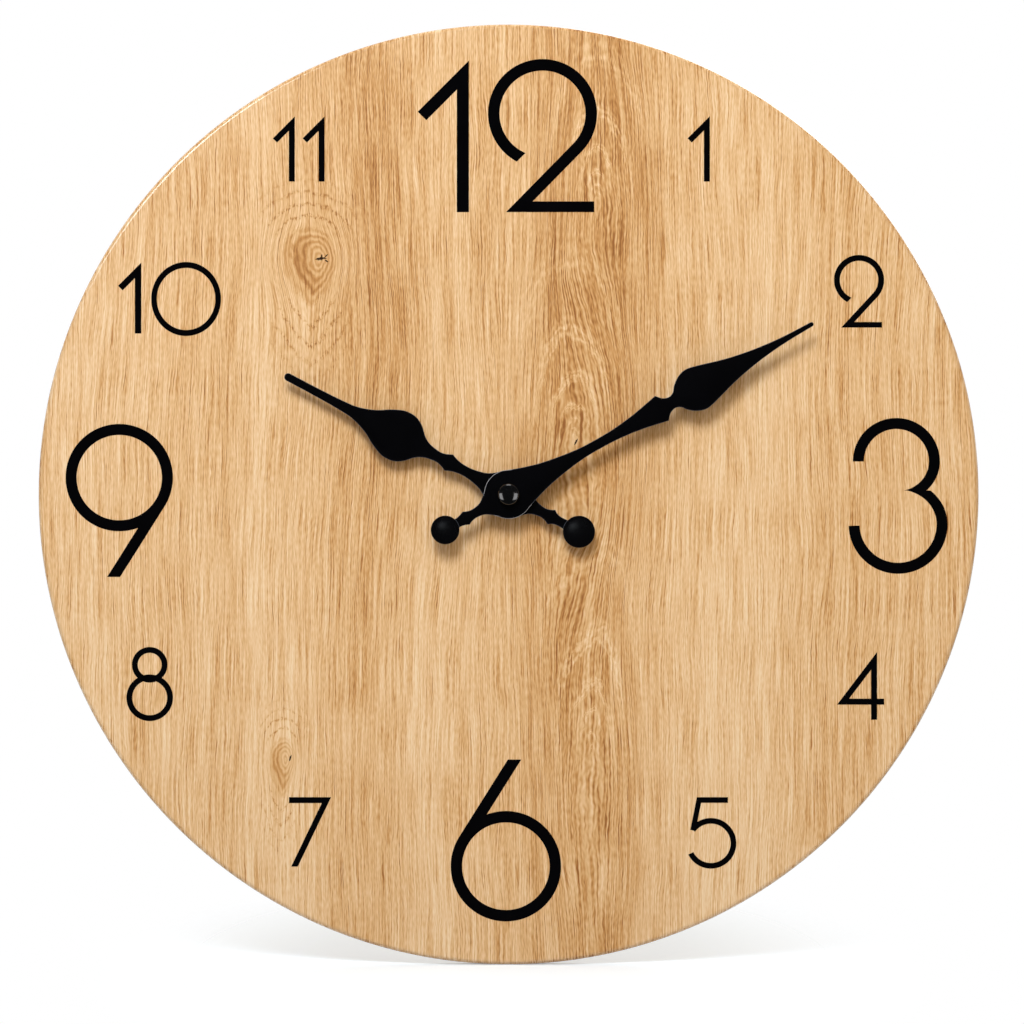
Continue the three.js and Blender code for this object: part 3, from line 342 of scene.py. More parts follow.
class Swirl(Effect):
    """Bends straight grain round a centre, and gives the distance from it in teardrop form."""

    name = "Swirl"
    inputs = {
        "Across": 0.0, "Along": 0.0, "Centre across": 0.0, "Centre along": 0.0, "Half width": 10.0,
        "Half height": 20.0, "Bend": 0.6, "Ragged": 0.3, "Point": 0.6, "Core": 0.0, "Seed": 0.0,
    }
    outputs = ("Across", "Radius", "Ends", "Left", "Above")

    def draw(self, graph: Graph, given: dict[str, Socket]) -> dict[str, Socket]:
        """Adds the nodes that bend the grain and measure the ragged distance.

        Args:
            graph: The group's own graph.
            given: The socket of each of its inputs.

        Returns:
            The socket that each of its outputs gets.
        """
        across = graph.minus(given["Across"], given["Centre across"])
        along = graph.minus(given["Along"], given["Centre along"])
        below = graph.remap(along, 4.0, -12.0)
        u = graph.over(across, given["Half width"])
        v = graph.over(graph.times(along, graph.scaled(below, -0.38, 1.0)), given["Half height"])
        power = graph.minus(2.0, graph.times(below, given["Point"]))

        def distance(first: Socket, second: Socket) -> Socket:
            """Gives the length of two sides, in a rounded form above and a pointed one below the centre.

            Args:
                first: The side across the grain.
                second: The side along it.

            Returns:
                The length.
            """
            one = graph.math("POWER", graph.absolute(first), power)
            two = graph.math("POWER", graph.absolute(second), power)
            return graph.math("POWER", graph.plus(one, two), graph.over(1.0, power))

        outer = distance(u, v)
        pull = graph.times(graph.remap(outer, 2.1, 0.3), given["Bend"])
        bent = graph.minus(given["Across"], graph.times(across, pull))
        inside = graph.largest(graph.minus(1.0, outer), 0.0)
        shifted = graph.minus(u, graph.times(inside, given["Core"]))
        plain = distance(shifted, v)
        ragged_at = graph.join(across, given["Seed"], graph.times(along, 0.6))
        ragged = graph.minus(graph.noise(ragged_at, 0.2, 4.0, 0.62), 0.5)
        radius = graph.scaled(ragged, given["Ragged"], plain)
        ends = graph.over(graph.absolute(v), graph.plus(plain, 0.05))
        left = graph.times(graph.plus(graph.times(v, 0.5), u), -0.5)
        above = graph.remap(v, -0.25, 0.12)
        return {"Across": bent, "Radius": radius, "Ends": ends, "Left": left, "Above": above}


class Crack(Effect):
    """A short dark split that tapers to both ends."""

    name = "Crack"
    inputs = {
        "Across": 0.0, "Along": 0.0, "Centre across": 0.0, "Centre along": 0.0, "Half length": 2.0,
        "Half width": 0.4, "Lean": 0.0,
    }
    outputs = ("Mask",)

    def draw(self, graph: Graph, given: dict[str, Socket]) -> dict[str, Socket]:
        """Adds the nodes that turn the place to the split's own direction and measure from it.

        Args:
            graph: The group's own graph.
            given: The socket of each of its inputs.

        Returns:
            The socket that each of its outputs gets.
        """
        x = graph.minus(given["Across"], given["Centre across"])
        z = graph.minus(given["Along"], given["Centre along"])
        stray = graph.scaled(graph.noise(graph.join(x, 4.0, z), 0.9, 3.0, 0.6), 1.3, -0.65)
        z = graph.plus(z, stray)
        cosine = graph.math("COSINE", given["Lean"])
        sine = graph.sine(given["Lean"])
        lengthwise = graph.scaled(x, cosine, graph.times(z, sine))
        sideways = graph.scaled(z, cosine, graph.times(graph.times(x, sine), -1.0))
        taper = graph.remap(graph.absolute(graph.over(lengthwise, given["Half length"])), 1.0, 0.1)
        reach = graph.scaled(taper, given["Half width"], 0.001)
        mask = graph.remap(graph.over(graph.absolute(sideways), reach), 1.3, 0.4)
        return {"Mask": graph.times(mask, graph.remap(taper, 0.02, 0.2))}


class FibreStreaks(Effect):
    """Short dashes and long stripes that run along the grain."""

    name = "Fibre streaks"
    inputs = {"Across": 0.0, "Depth": 0.0, "Along": 0.0}
    outputs = ("Dashes", "Flecks", "Threads", "Stripes", "Pores")

    def draw(self, graph: Graph, given: dict[str, Socket]) -> dict[str, Socket]:
        """Adds noises that are drawn out along the grain. Each is about 0 on average.

        Args:
            graph: The group's own graph.
            given: The socket of each of its inputs.

        Returns:
            The socket that each of its outputs gets.
        """
        sway_at = graph.join(graph.times(given["Across"], 2.6), 6.0, given["Along"])
        sway = graph.scaled(graph.noise(sway_at, 0.035, 1.0), 2.6, given["Across"])
        sway = graph.scaled(graph.noise(sway_at, 0.22, 1.0), 0.55, sway)

        def drawn_out(start: Socket, across: float, along: float, seed: float, detail: float = 1.0) -> Socket:
            """Gives noise from -0.5 to 0.5 with its own waves per millimetre across and along.

            Args:
                start: The place across the grain.
                across: The waves per millimetre across.
                along: The waves per millimetre along.
                seed: What sets it apart from the others.
                detail: How many finer layers it has.

            Returns:
                The noise.
            """
            x = graph.times(start, across)
            z = graph.times(given["Along"], along)
            y = graph.plus(given["Depth"], seed)
            return graph.minus(graph.noise(graph.join(x, y, z), 1.0, detail, 0.65), 0.5)

        dashes = drawn_out(sway, 3.2, 0.045, 3.0, 0.0)
        flecks = drawn_out(sway, 3.8, 0.5, 71.0, 0.0)
        threads = drawn_out(given["Across"], 0.7, 0.008, 11.0, 2.0)
        stripes = drawn_out(given["Across"], 0.13, 0.004, 23.0, 2.0)
        pores = graph.remap(drawn_out(sway, 3.4, 0.07, 37.0, 0.0), 0.12, 0.24)
        return {"Dashes": dashes, "Flecks": flecks, "Threads": threads, "Stripes": stripes, "Pores": pores}


class MouldGrain(Effect):
    """The fine skin of a moulding or a sprayed coat: its mottling and its height."""

    name = "Mould grain"
    inputs = {"Place": (0.0, 0.0, 0.0), "Grain": 4.0, "Cloud": 0.12}
    outputs = ("Mottle", "Height", "Scuffs")

    def draw(self, graph: Graph, given: dict[str, Socket]) -> dict[str, Socket]:
        """Adds cloudy mottling, a fine grain and thin upright scuffs.

        Args:
            graph: The group's own graph.
            given: The socket of each of its inputs.

        Returns:
            The socket that each of its outputs gets.
        """
        mottle = graph.noise(given["Place"], given["Cloud"], 3.0)
        height = graph.noise(given["Place"], given["Grain"], 2.0)
        x, y, z = graph.split(given["Place"])
        slant = graph.scaled(z, 0.35, x)
        scuff_at = graph.join(graph.times(slant, 3.0), y, graph.times(z, 0.12))
        scuffs = graph.remap(graph.noise(scuff_at, 1.0, 1.0), 0.68, 0.78)
        return {"Mottle": mottle, "Height": height, "Scuffs": scuffs}


class Finish:
    """A surface finish. Its material is made on first use and then shared."""

    name: str

    def shade(self, graph: Graph) -> dict[str, Fed]:
        """Adds the finish's nodes.

        Args:
            graph: The graph of the finish's material.

        Returns:
            What each named input of the shader gets.
        """
        raise NotImplementedError

    def material(self) -> bpy.types.Material:
        """Gives the finish's material, and makes it if this is its first use.

        Returns:
            The material, with one Principled shader.
        """
        found = bpy.data.materials.get(self.name)
        if found:
            return found
        material = bpy.data.materials.new(self.name)
        graph = bare_graph(material)
        shader = graph.add("BsdfPrincipled", self.shade(graph))
        graph.add("OutputMaterial", {"Surface": shader.outputs[0]})
        return material


@dataclass(frozen=True)
class Whorl:
    """A centre that the grain flows round: its place, its reach in millimetres and how it bends the grain."""

    centre: Place
    half_width: float
    half_height: float
    bend: float
    ragged: float
    seed: float
    point: float = 0.5
    core: float = 0.0


@dataclass(frozen=True)
class ToneBand:
    """A soft upright band that is paler or darker: its middle, its half width and how much."""

    across: float
    half_width: float
    change: float


@dataclass(frozen=True)
class Split:
    """One branch of the crack in a knot: its middle, half length, half width and lean in degrees."""

    centre: Place
    half_length: float
    half_width: float
    lean: float


@dataclass(frozen=True)
class OakPrint(Finish):
    """Light oak with fine upright grain, knots and an arched figure, under a satin coat."""

    name: str = "light oak"
    knots: tuple[Whorl, ...] = (
        Whorl((-65.4, 75.2), 9.0, 9.2, 0.6, 0.42, 2.0, 0.7, 0.5),
        Whorl((-70.2, -84.5), 4.2, 7.0, 0.55, 0.45, 9.0, 0.6, 0.3),
    )
    arches: tuple[Whorl, ...] = (
        Whorl((19.5, 16.0), 12.5, 36.5, 0.72, 0.3, 17.0),
        Whorl((27.0, -84.0), 11.0, 40.0, 0.6, 0.3, 31.0),
        Whorl((29.0, 92.0), 11.0, 30.0, 0.5, 0.3, 43.0),
    )
    splits: tuple[Split, ...] = (
        Split((-59.8, 75.2), 2.4, 0.5, 4.0), Split((-58.2, 76.0), 1.2, 0.2, 42.0),
        Split((-58.0, 74.4), 1.0, 0.18, -34.0), Split((-59.6, 75.9), 0.8, 0.26, 80.0),
        Split((-69.6, -84.0), 1.3, 0.3, 70.0), Split((21.5, 16.8), 1.4, 0.32, 60.0),
    )
    bands: tuple[ToneBand, ...] = (
        ToneBand(-131, 20, 0.09), ToneBand(-78, 18, 0.09), ToneBand(-43, 20, -0.12),
        ToneBand(-20, 12, 0.075), ToneBand(26, 34, -0.1275), ToneBand(66, 22, 0.0975),
        ToneBand(84, 14, 0.12), ToneBand(112, 20, -0.015),
    )
    streaks: tuple[tuple[str, float], ...] = (
        ("Dashes", 0.98), ("Flecks", 0.5), ("Threads", 0.6), ("Stripes", 0.4), ("Pores", -0.26),
    )
    tones: tuple[tuple[float, Colour], ...] = (
        (0.0, rgb(150, 94, 44)), (0.25, rgb(194, 140, 80)), (0.5, rgb(218, 174, 121)),
        (0.72, rgb(231, 193, 148)), (1.0, rgb(240, 211, 172)),
    )
    crack_colour: Colour = rgb(40, 20, 8)
    mean_tone: float = 0.56
    # Painted light: per millimetre upwards the oak gets darker, so it is paler towards the bottom and darker
    # towards the top.
    tilt: float = -0.0005
    ring_ratio: float = 0.5
    rim: float = 148.2

    def shade(self, graph: Graph) -> dict[str, Fed]:
        """Adds the grain's flow, its streaks, its knots and arches and its broad bands.

        Args:
            graph: The graph of the finish's material.

        Returns:
            What each named input of the shader gets.
        """
        x, y, z = graph.split(graph.own_place())
        slow_at = graph.join(graph.times(x, 0.8), 5.0, graph.times(z, 0.55))
        slow = graph.minus(graph.noise(slow_at, 0.012, 1.0), 0.5)
        across = graph.scaled(slow, 14.0, x)
        marks: list[Socket] = []
        for arch in self.arches:
            swirl = Swirl().place(graph, arch, across=across, along=z)
            marks.append(self.arch_rings(graph, swirl, across, z))
            across = swirl["Across"]
        plain: Fed = 1.0
        for knot in self.knots:
            swirl = Swirl().place(graph, knot, across=across, along=z)
            plain = graph.math("MINIMUM", plain, graph.remap(swirl["Radius"], 0.6, 1.3, 0.3, 1.0))
            marks.append(self.knot_rings(graph, swirl, x, z))
            across = swirl["Across"]
        fibres = FibreStreaks().place(graph, across=across, depth=y, along=z)
        value: Fed = 0.0
        for streak, weight in self.streaks:
            value = graph.scaled(fibres[streak], weight, value)
        value = graph.scaled(value, plain, self.mean_tone)
        for mark in marks:
            value = graph.plus(value, mark)
        value = graph.plus(value, self.band_tone(graph, across, z))
        crack: Fed = 0.0
        for split in self.splits:
            placed = Crack().place(graph, split, across=x, along=z, lean=math.radians(split.lean))
            crack = graph.largest(crack, placed["Mask"])
        height = graph.scaled(fibres["Pores"], -0.6, value)
        rough = graph.remap(value, 0.0, 1.0, 0.56, 0.44)
        reach = graph.length(graph.join(x, 0.0, z))
        return {
            "Base Color": graph.mix(crack, graph.ramp(value, self.tones), self.crack_colour),
            "Roughness": graph.scaled(crack, 0.4, rough),
            "Normal": graph.bump(height, 0.03, 0.35),
            "Specular IOR Level": 0.3,
            "Coat Weight": graph.remap(reach, self.rim, self.rim + 0.3),
            "Coat Roughness": 0.1,
        }

    def arch_rings(self, graph: Graph, swirl: dict[str, Socket], across: Socket, along: Socket) -> Socket:
        """Draws pale fuzzy arches whose spacing grows outwards, on a slightly darker ground.

        Args:
            graph: The graph of the oak's material.
            swirl: The outputs of the arch's swirl.
            across: The place across the grain.
            along: The place along the grain.

        Returns:
            How much paler or darker the arches make a place.
        """
        radius = graph.largest(swirl["Radius"], 0.08)
        turns = graph.over(graph.math("LOGARITHM", radius, math.e), self.ring_ratio)
        line = graph.remap(graph.math("PINGPONG", turns, 0.5), 0.28, 0.06)
        fine = graph.sine(graph.times(turns, 42.0))
        line = graph.times(line, graph.scaled(fine, 0.45, 0.75))
        fuzz_at = graph.join(graph.times(across, 1.5), 90.0, graph.times(along, 0.42))
        fuzz = graph.remap(graph.noise(fuzz_at, 1.0, 2.0), 0.25, 0.6)
        near = graph.remap(radius, 2.1, 1.2)
        pale = graph.times(graph.times(line, fuzz), graph.times(near, swirl["Above"]))
        ground = graph.times(near, -0.06)
        ends = graph.scaled(graph.remap(swirl["Ends"], 0.2, 0.8), 0.6, 0.4)
        return graph.scaled(graph.times(pale, ends), 0.3, ground)

    def knot_rings(self, graph: Graph, swirl: dict[str, Socket], across: Socket, along: Socket) -> Socket:
        """Draws a knot's fine rings, its dark left side, and the dotted arcs above and below it.

        Args:
            graph: The graph of the oak's material.
            swirl: The outputs of the knot's swirl.
            across: The place across the grain.
            along: The place along the grain.

        Returns:
            How much paler or darker the knot makes a place.
        """
        radius = swirl["Radius"]
        eye = graph.remap(radius, 1.15, 0.85)
        fine = graph.sine(graph.times(radius, 30.0))
        rings = graph.times(graph.times(fine, eye), 0.13)
        rim = graph.remap(graph.absolute(graph.minus(radius, 0.66)), 0.4, 0.0)
        side = graph.remap(swirl["Left"], -0.5, 0.6)
        shaded = graph.times(graph.times(rim, side), -0.28)
        turns = graph.times(radius, 2.4)
        phase = graph.absolute(graph.minus(graph.math("FRACT", turns), 0.5))
        line = graph.remap(phase, 0.24, 0.02)
        dot_at = graph.join(graph.times(across, 1.5), 50.0, graph.times(along, 0.8))
        dots = graph.remap(graph.noise(dot_at, 1.0, 2.0), 0.42, 0.64)
        outside = graph.times(graph.remap(radius, 0.95, 1.2), graph.remap(radius, 3.4, 1.6))
        ends = graph.remap(swirl["Ends"], 0.35, 0.8)
        dotted = graph.times(graph.times(line, dots), graph.times(outside, ends))
        ground = graph.times(eye, -0.13)
        value = graph.plus(graph.plus(rings, shaded), ground)
        return graph.scaled(dotted, -0.42, value)

    def band_tone(self, graph: Graph, across: Socket, along: Socket) -> Socket:
        """Adds up the broad bands and a painted change of light along the grain, paler towards the bottom and
        darker towards the top.

        Args:
            graph: The graph of the oak's material.
            across: The place across the grain.
            along: The place along the grain.

        Returns:
            How much paler or darker they make a place.
        """
        # Painted light: paler towards the bottom and darker towards the top.
        tone: Fed = graph.times(along, self.tilt)
        for band in self.bands:
            away = graph.absolute(graph.minus(across, band.across))
            tone = graph.plus(tone, graph.remap(away, band.half_width, 0.0, 0.0, band.change))
        return tone


@dataclass(frozen=True)
class Fibreboard(Finish):
    """Bare brown fibreboard with flecks of fibre."""

    name: str = "bare fibreboard"
    tones: tuple[tuple[float, Colour], ...] = (
        (0.3, rgb(120, 84, 54)), (0.5, rgb(151, 110, 74)), (0.7, rgb(176, 136, 97)),
    )

    def shade(self, graph: Graph) -> dict[str, Fed]:
        """Adds pressed fibres at two scales.

        Args:
            graph: The graph of the finish's material.

        Returns:
            What each named input of the shader gets.
        """
        place = graph.own_place()
        flecks = graph.noise(place, 1.1, 4.0, 0.7)
        cloud = graph.noise(place, 0.05, 3.0)
        value = graph.scaled(cloud, 0.5, graph.times(flecks, 0.5))
        return {"Base Color": graph.ramp(value, self.tones), "Roughness": 0.85,
                "Normal": graph.bump(flecks, 0.12, 0.5)}


@dataclass(frozen=True)
class Coat(Finish):
    """A sprayed or moulded surface of one colour, with its grain and light scuffs."""

    name: str
    colour: Colour
    roughness: float
    grain: float = 4.0
    relief: float = 0.01
    uneven: float = 0.15
    specular: float = 0.5

    def shade(self, graph: Graph) -> dict[str, Fed]:
        """Adds mottling of the colour, uneven gloss and a fine relief.

        Args:
            graph: The graph of the finish's material.

        Returns:
            What each named input of the shader gets.
        """
        skin = MouldGrain().place(graph, place=graph.own_place(), grain=self.grain)
        dark, pale = tinted(self.colour, 1 - self.uneven), tinted(self.colour, 1 + self.uneven)
        gloss = graph.scaled(skin["Mottle"], 0.16, self.roughness - 0.08)
        return {
            "Base Color": graph.mix(skin["Mottle"], dark, pale),
            "Roughness": graph.scaled(skin["Scuffs"], 0.1, gloss),
            "Normal": graph.bump(skin["Height"], self.relief),
            "Specular IOR Level": self.specular,
        }


class Working(Enum):
    """How a metal surface was worked, which sets the way its fine lines run."""

    TURNED = "turned"
    ROLLED = "rolled"
    DRAWN = "drawn"


@dataclass(frozen=True)
class Metal(Finish):
    """Bare or plated metal with the lines that its working left."""

    name: str
    colour: Colour
    roughness: float
    working: Working

    def shade(self, graph: Graph) -> dict[str, Fed]:
        """Adds fine lines that follow the working, and patchy dulling.

        Args:
            graph: The graph of the finish's material.

        Returns:
            What each named input of the shader gets.
        """
        place = graph.own_place()
        x, y, z = graph.split(place)
        if self.working is Working.TURNED:
            line_at = graph.join(graph.times(y, 14.0), graph.times(x, 0.4), z)
        elif self.working is Working.ROLLED:
            line_at = graph.join(graph.times(x, 0.5), y, graph.times(z, 9.0))
        else:
            line_at = graph.join(graph.times(x, 0.3), graph.times(y, 6.0), z)
        lines = graph.noise(line_at, 1.0, 3.0)
        dulled = graph.noise(place, 0.3, 3.0)
        shade = tinted(self.colour, 0.72)
        return {
            "Base Color": graph.mix(graph.remap(dulled, 0.3, 0.7), self.colour, shade),
            "Metallic": 1.0,
            "Roughness": graph.scaled(lines, 0.2, self.roughness - 0.1),
            "Normal": graph.bump(lines, 0.006),
        }


@dataclass(frozen=True)
class Winding(Finish):
    """Enamelled copper wire wound side by side along X."""

    name: str = "wound copper"

    def shade(self, graph: Graph) -> dict[str, Fed]:
        """Adds the wire's turns and their slight unevenness.

        Args:
            graph: The graph of the finish's material.

        Returns:
            What each named input of the shader gets.
        """
        place = graph.own_place()
        x, _, _ = graph.split(place)
        stray = graph.times(graph.noise(place, 0.6), 0.5)
        turn = graph.sine(graph.scaled(x, 52.0, stray))
        height = graph.scaled(turn, 0.5, 0.5)
        colour = graph.mix(height, rgb(112, 44, 18), rgb(205, 108, 56))
        return {"Base Color": colour, "Metallic": 0.8, "Roughness": 0.32, "Normal": graph.bump(height, 0.05)}


@dataclass(frozen=True)
class Laminate(Finish):
    """Green circuit laminate with paler copper tracks under its lacquer."""

    name: str = "circuit laminate"

    def shade(self, graph: Graph) -> dict[str, Fed]:
        """Adds square-cornered tracks and the weave of the glass cloth.

        Args:
            graph: The graph of the finish's material.

        Returns:
            What each named input of the shader gets.
        """
        place = graph.own_place()
        cells = graph.add("TexVoronoi", {"Vector": place, "Scale": 0.45, "Randomness": 0.75},
                          distance="CHEBYCHEV")
        tracks = graph.remap(cells.outputs["Distance"], 0.42, 0.46)
        x, _, z = graph.split(place)
        weave = graph.times(graph.sine(graph.times(x, 9.0)), graph.sine(graph.times(z, 9.0)))
        lacquer = graph.mix(tracks, rgb(28, 92, 52), rgb(70, 132, 78))
        colour = graph.mix(graph.scaled(weave, 0.06, 0.06), lacquer, rgb(180, 200, 150))
        height = graph.scaled(tracks, 1.0, graph.times(weave, 0.1))
        return {"Base Color": colour, "Roughness": 0.35, "Normal": graph.bump(height, 0.03)}


@dataclass(frozen=True)
class CellJacket(Finish):
    """The printed sleeve of a battery cell, in two tones that part at a ring."""

    name: str = "cell jacket"
    body: Colour = rgb(38, 66, 74)
    end: Colour = rgb(206, 208, 206)
    parting: float = 13.0

    def shade(self, graph: Graph) -> dict[str, Fed]:
        """Adds the two tones, the thin line between them and fine scuffs.

        Args:
            graph: The graph of the finish's material.

        Returns:
            What each named input of the shader gets.
        """
        place = graph.own_place()
        skin = MouldGrain().place(graph, place=place, grain=2.5)
        x, _, _ = graph.split(place)
        past = graph.minus(x, self.parting)
        side = graph.remap(past, -0.05, 0.05)
        line = graph.remap(graph.absolute(graph.plus(past, 1.2)), 0.4, 0.3)
        two_tone = graph.mix(side, self.body, self.end)
        lined = graph.mix(line, two_tone, self.end)
        colour = graph.mix(graph.times(skin["Scuffs"], 0.35), lined, rgb(150, 152, 150))
        rough = graph.scaled(skin["Mottle"], 0.2, 0.2)
        return {"Base Color": colour, "Metallic": 0.35, "Roughness": rough,
                "Normal": graph.bump(skin["Height"], 0.01)}


OAK = OakPrint()
FIBREBOARD = Fibreboard()
INK = Coat("printed ink", rgb(4, 4, 6), 0.6, grain=6.0, relief=0.006, uneven=0.5, specular=0.05)
HAND_PAINT = Coat("satin black paint", rgb(4, 4, 6), 0.42, grain=2.4, relief=0.012, uneven=0.5, specular=0.05)
DOME_PAINT = Coat("pressed dome paint", rgb(4, 4, 6), 0.27, grain=2.4, relief=0.006, uneven=0.5,
                  specular=0.25)
# Partly the bare cut edge of the sheet and partly a painted highlight: a pale grey line round the minute
# hand's hub.
HUB_EDGE_AND_HIGHLIGHT = Coat("rubbed hub edge", rgb(168, 168, 172), 0.4, uneven=0.2, specular=0.3)
# Partly the bare cut edge of the sheet and partly a painted sheen: a mid grey along the hands' outlines.
CUT_EDGE_AND_SHEEN = Coat("cut edge with painted sheen", rgb(74, 78, 86), 0.4, uneven=0.2, specular=0.3)
CAP_PAINT = Coat("gloss black", rgb(5, 5, 6), 0.13, grain=1.2, relief=0.003, uneven=0.3, specular=0.6)
CASE_PLASTIC = Coat("black moulding", rgb(26, 26, 28), 0.5, grain=5.0, relief=0.02, uneven=0.25)
COVER_PLASTIC = Coat("black cover moulding", rgb(30, 30, 32), 0.42, relief=0.012, uneven=0.25)
# Painted sheen: the floors of the sunk marks are a paler grey than the black moulding, for the light that
# their matt texture catches.
MARK_FLOOR_SHEEN = Coat("mark floors with painted sheen", rgb(86, 86, 89), 0.7, grain=2.0, relief=0.02, uneven=0.2)
KNOB_PLASTIC = Coat("knob moulding", rgb(34, 34, 37), 0.36, relief=0.01, uneven=0.25)
WHITE_PLASTIC = Coat("white acetal", rgb(232, 230, 222), 0.38, grain=3.0, relief=0.006, uneven=0.04)
PLATE_PLASTIC = Coat("white plate moulding", rgb(224, 222, 214), 0.48, relief=0.012, uneven=0.05)
RUBBER = Coat("black rubber", rgb(27, 27, 27), 0.85, grain=3.0, relief=0.03, uneven=0.3, specular=0.3)
FERRITE = Coat("magnet ferrite", rgb(72, 72, 76), 0.5, grain=6.0, relief=0.02, uneven=0.2)
RESIN = Coat("black resin", rgb(15, 15, 16), 0.35, grain=1.5, relief=0.03, uneven=0.4)
BRASS = Metal("turned brass", rgb(200, 168, 98), 0.3, Working.TURNED)
NICKEL = Metal("nickel plate", rgb(196, 194, 188), 0.24, Working.TURNED)
STEEL = Metal("rolled steel", rgb(188, 190, 192), 0.32, Working.ROLLED)
SPRING_STEEL = Metal("drawn spring steel", rgb(205, 206, 208), 0.24, Working.DRAWN)


# Shapes, in millimetres

def turned(profile: Sequence[Place], segments: int = 64, closed: bool = False) -> BMesh:
    """Revolves a profile about the hands' axis.

    Args:
        profile: The radius and depth of each point.
        segments: How many steps a full turn has.
        closed: Whether the last point joins the first, as in a ring.

    Returns:
        The closed shape.
    """
    shape = bmesh.new()
    points = [shape.verts.new((radius, -depth, 0.0)) for radius, depth in profile]
    edges = [shape.edges.new(pair) for pair in zip(points, points[1:])]
    if closed:
        edges.append(shape.edges.new((points[-1], points[0])))
    bmesh.ops.spin(shape, geom=points + edges, cent=(0, 0, 0), axis=(0, 1, 0), angle=math.tau,
                   steps=segments, use_merge=True)
    bmesh.ops.remove_doubles(shape, verts=shape.verts, dist=MERGE)
    bmesh.ops.recalc_face_normals(shape, faces=shape.faces)
    return shape


def rounded(radius: float, depth: float, round_: float, start: float, stop: float, steps: int) -> list[Place]:
    """Gives the points of a rounded corner in a profile.

    Args:
        radius: The radius of the corner's centre.
        depth: The depth of the corner's centre.
        round_: The corner's own radius.
        start: The angle that it starts at, in degrees from straight out, towards the front.
        stop: The angle that it ends at.
        steps: How many steps it has.

    Returns:
        The points of radius and depth.
    """
    angles = [math.radians(start + (stop - start) * step / steps) for step in range(steps + 1)]
    return [(radius + round_ * math.cos(angle), depth + round_ * math.sin(angle)) for angle in angles]


def plate(outline: Iterable[Place], rear: float, front: float) -> BMesh:
    """Makes a flat plate of an outline.

    Args:
        outline: The corners in the plane of the dial.
        rear: The depth of its rear face.
        front: The depth of its front face.

    Returns:
        The closed shape.
    """
    shape = bmesh.new()
    face = shape.faces.new([shape.verts.new((x, -rear, z)) for x, z in outline])
    grown = bmesh.ops.extrude_face_region(shape, geom=[face], use_keep_orig=True)
    moved = [item for item in grown["geom"] if isinstance(item, bmesh.types.BMVert)]
    bmesh.ops.translate(shape, verts=moved, vec=(0, rear - front, 0))
    bmesh.ops.recalc_face_normals(shape, faces=shape.faces)
    return shape


def combined(base: BMesh, others: Iterable[BMesh], operation: str = "UNION") -> BMesh:
    """Joins closed shapes to the first one, or cuts them from it.

    Args:
        base: The shape that is worked on. It is used up, as the others are.
        others: The shapes that are joined to it or cut from it.
        operation: UNION or DIFFERENCE.

    Returns:
        One closed shape, without the edges that lay flat in a face.
    """
    made = [meshed("shape", shape) for shape in (base, *others)]
    for other in made[1:]:
        step = made[0].modifiers.new("step", "BOOLEAN")
        step.operation = operation
        step.solver = "EXACT"
        step.object = other
    result = bmesh.new()
    result.from_object(made[0], bpy.context.evaluated_depsgraph_get())
    for item in made:
        mesh = item.data
        bpy.data.objects.remove(item)
        bpy.data.meshes.remove(mesh)
    bmesh.ops.remove_doubles(result, verts=result.verts, dist=MERGE)
    bmesh.ops.dissolve_limit(result, angle_limit=FLAT, verts=result.verts, edges=result.edges)
    return result


def trimmed(shape: BMesh, point: Place, outwards: Place) -> BMesh:
    """Cuts off what lies past a line in the plane of the dial, and closes the cut.

    Args:
        shape: The shape, which is changed.
        point: A point on the line.
        outwards: The way to the side that goes.

    Returns:
        The same shape.
    """
    everything = [*shape.verts, *shape.edges, *shape.faces]
    bmesh.ops.bisect_plane(shape, geom=everything, dist=MERGE, plane_co=(point[0], 0, point[1]),
                           plane_no=(outwards[0], 0, outwards[1]), clear_outer=True)
    bmesh.ops.holes_fill(shape, edges=[edge for edge in shape.edges if edge.is_boundary])
    return shape


def at_depth(item: bmesh.types.BMEdge | bmesh.types.BMFace, depth: float) -> bool:
    """Tells whether an edge or a face lies wholly at a depth."""
    return all(abs(vert.co.y + depth) < LEVEL for vert in item.verts)


def softened(shape: BMesh, width: float, steepest: float, steps: int,
             chosen: Callable[[bmesh.types.BMEdge], bool]) -> BMesh:
    """Rounds some of the edges of a shape that are sharper than an angle.

    Args:
        shape: The shape, which is changed.
        width: How far in from the edge the rounding starts.
        steepest: The least angle between two faces whose edge is rounded, in degrees.
        steps: How many steps the rounding has.
        chosen: Tells which of those edges are rounded.

    Returns:
        The same shape.
    """
    limit = math.radians(steepest)
    edges = [edge for edge in shape.edges
             if edge.is_manifold and edge.calc_face_angle() > limit and chosen(edge)]
    bmesh.ops.bevel(shape, geom=edges, offset=width, offset_type="OFFSET", segments=steps, profile=0.5,
                    affect="EDGES", material=-1, clamp_overlap=True)
    return shape


def finished(name: str, shape: BMesh, finish: Finish, body: str,
             sharp: float = 35.0) -> bpy.types.Object:
    """Turns a shape into a piece of the clock.

    Args:
        name: The piece's name.
        shape: Its shape in millimetres, which is used up.
        finish: What its surface is.
        body: The moving body that carries it.
        sharp: The angle past which an edge stays sharp, in degrees.

    Returns:
        The new object.
    """
    bmesh.ops.scale(shape, verts=shape.verts, vec=(MM, MM, MM))
    piece = meshed(name, shape)
    mesh = piece.data
    mesh.shade_smooth()
    mesh.set_sharp_from_angle(angle=math.radians(sharp))
    mesh.materials.append(finish.material())
    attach(piece, body)
    LOG.info("%s: %d faces, carried by %s", name, len(mesh.polygons), body)
    return piece


# Numerals

@dataclass(frozen=True)
class Cut:
    """A straight cut across a stroke: a point on it, and the way to the side that goes."""

    point: Place
    outwards: Place


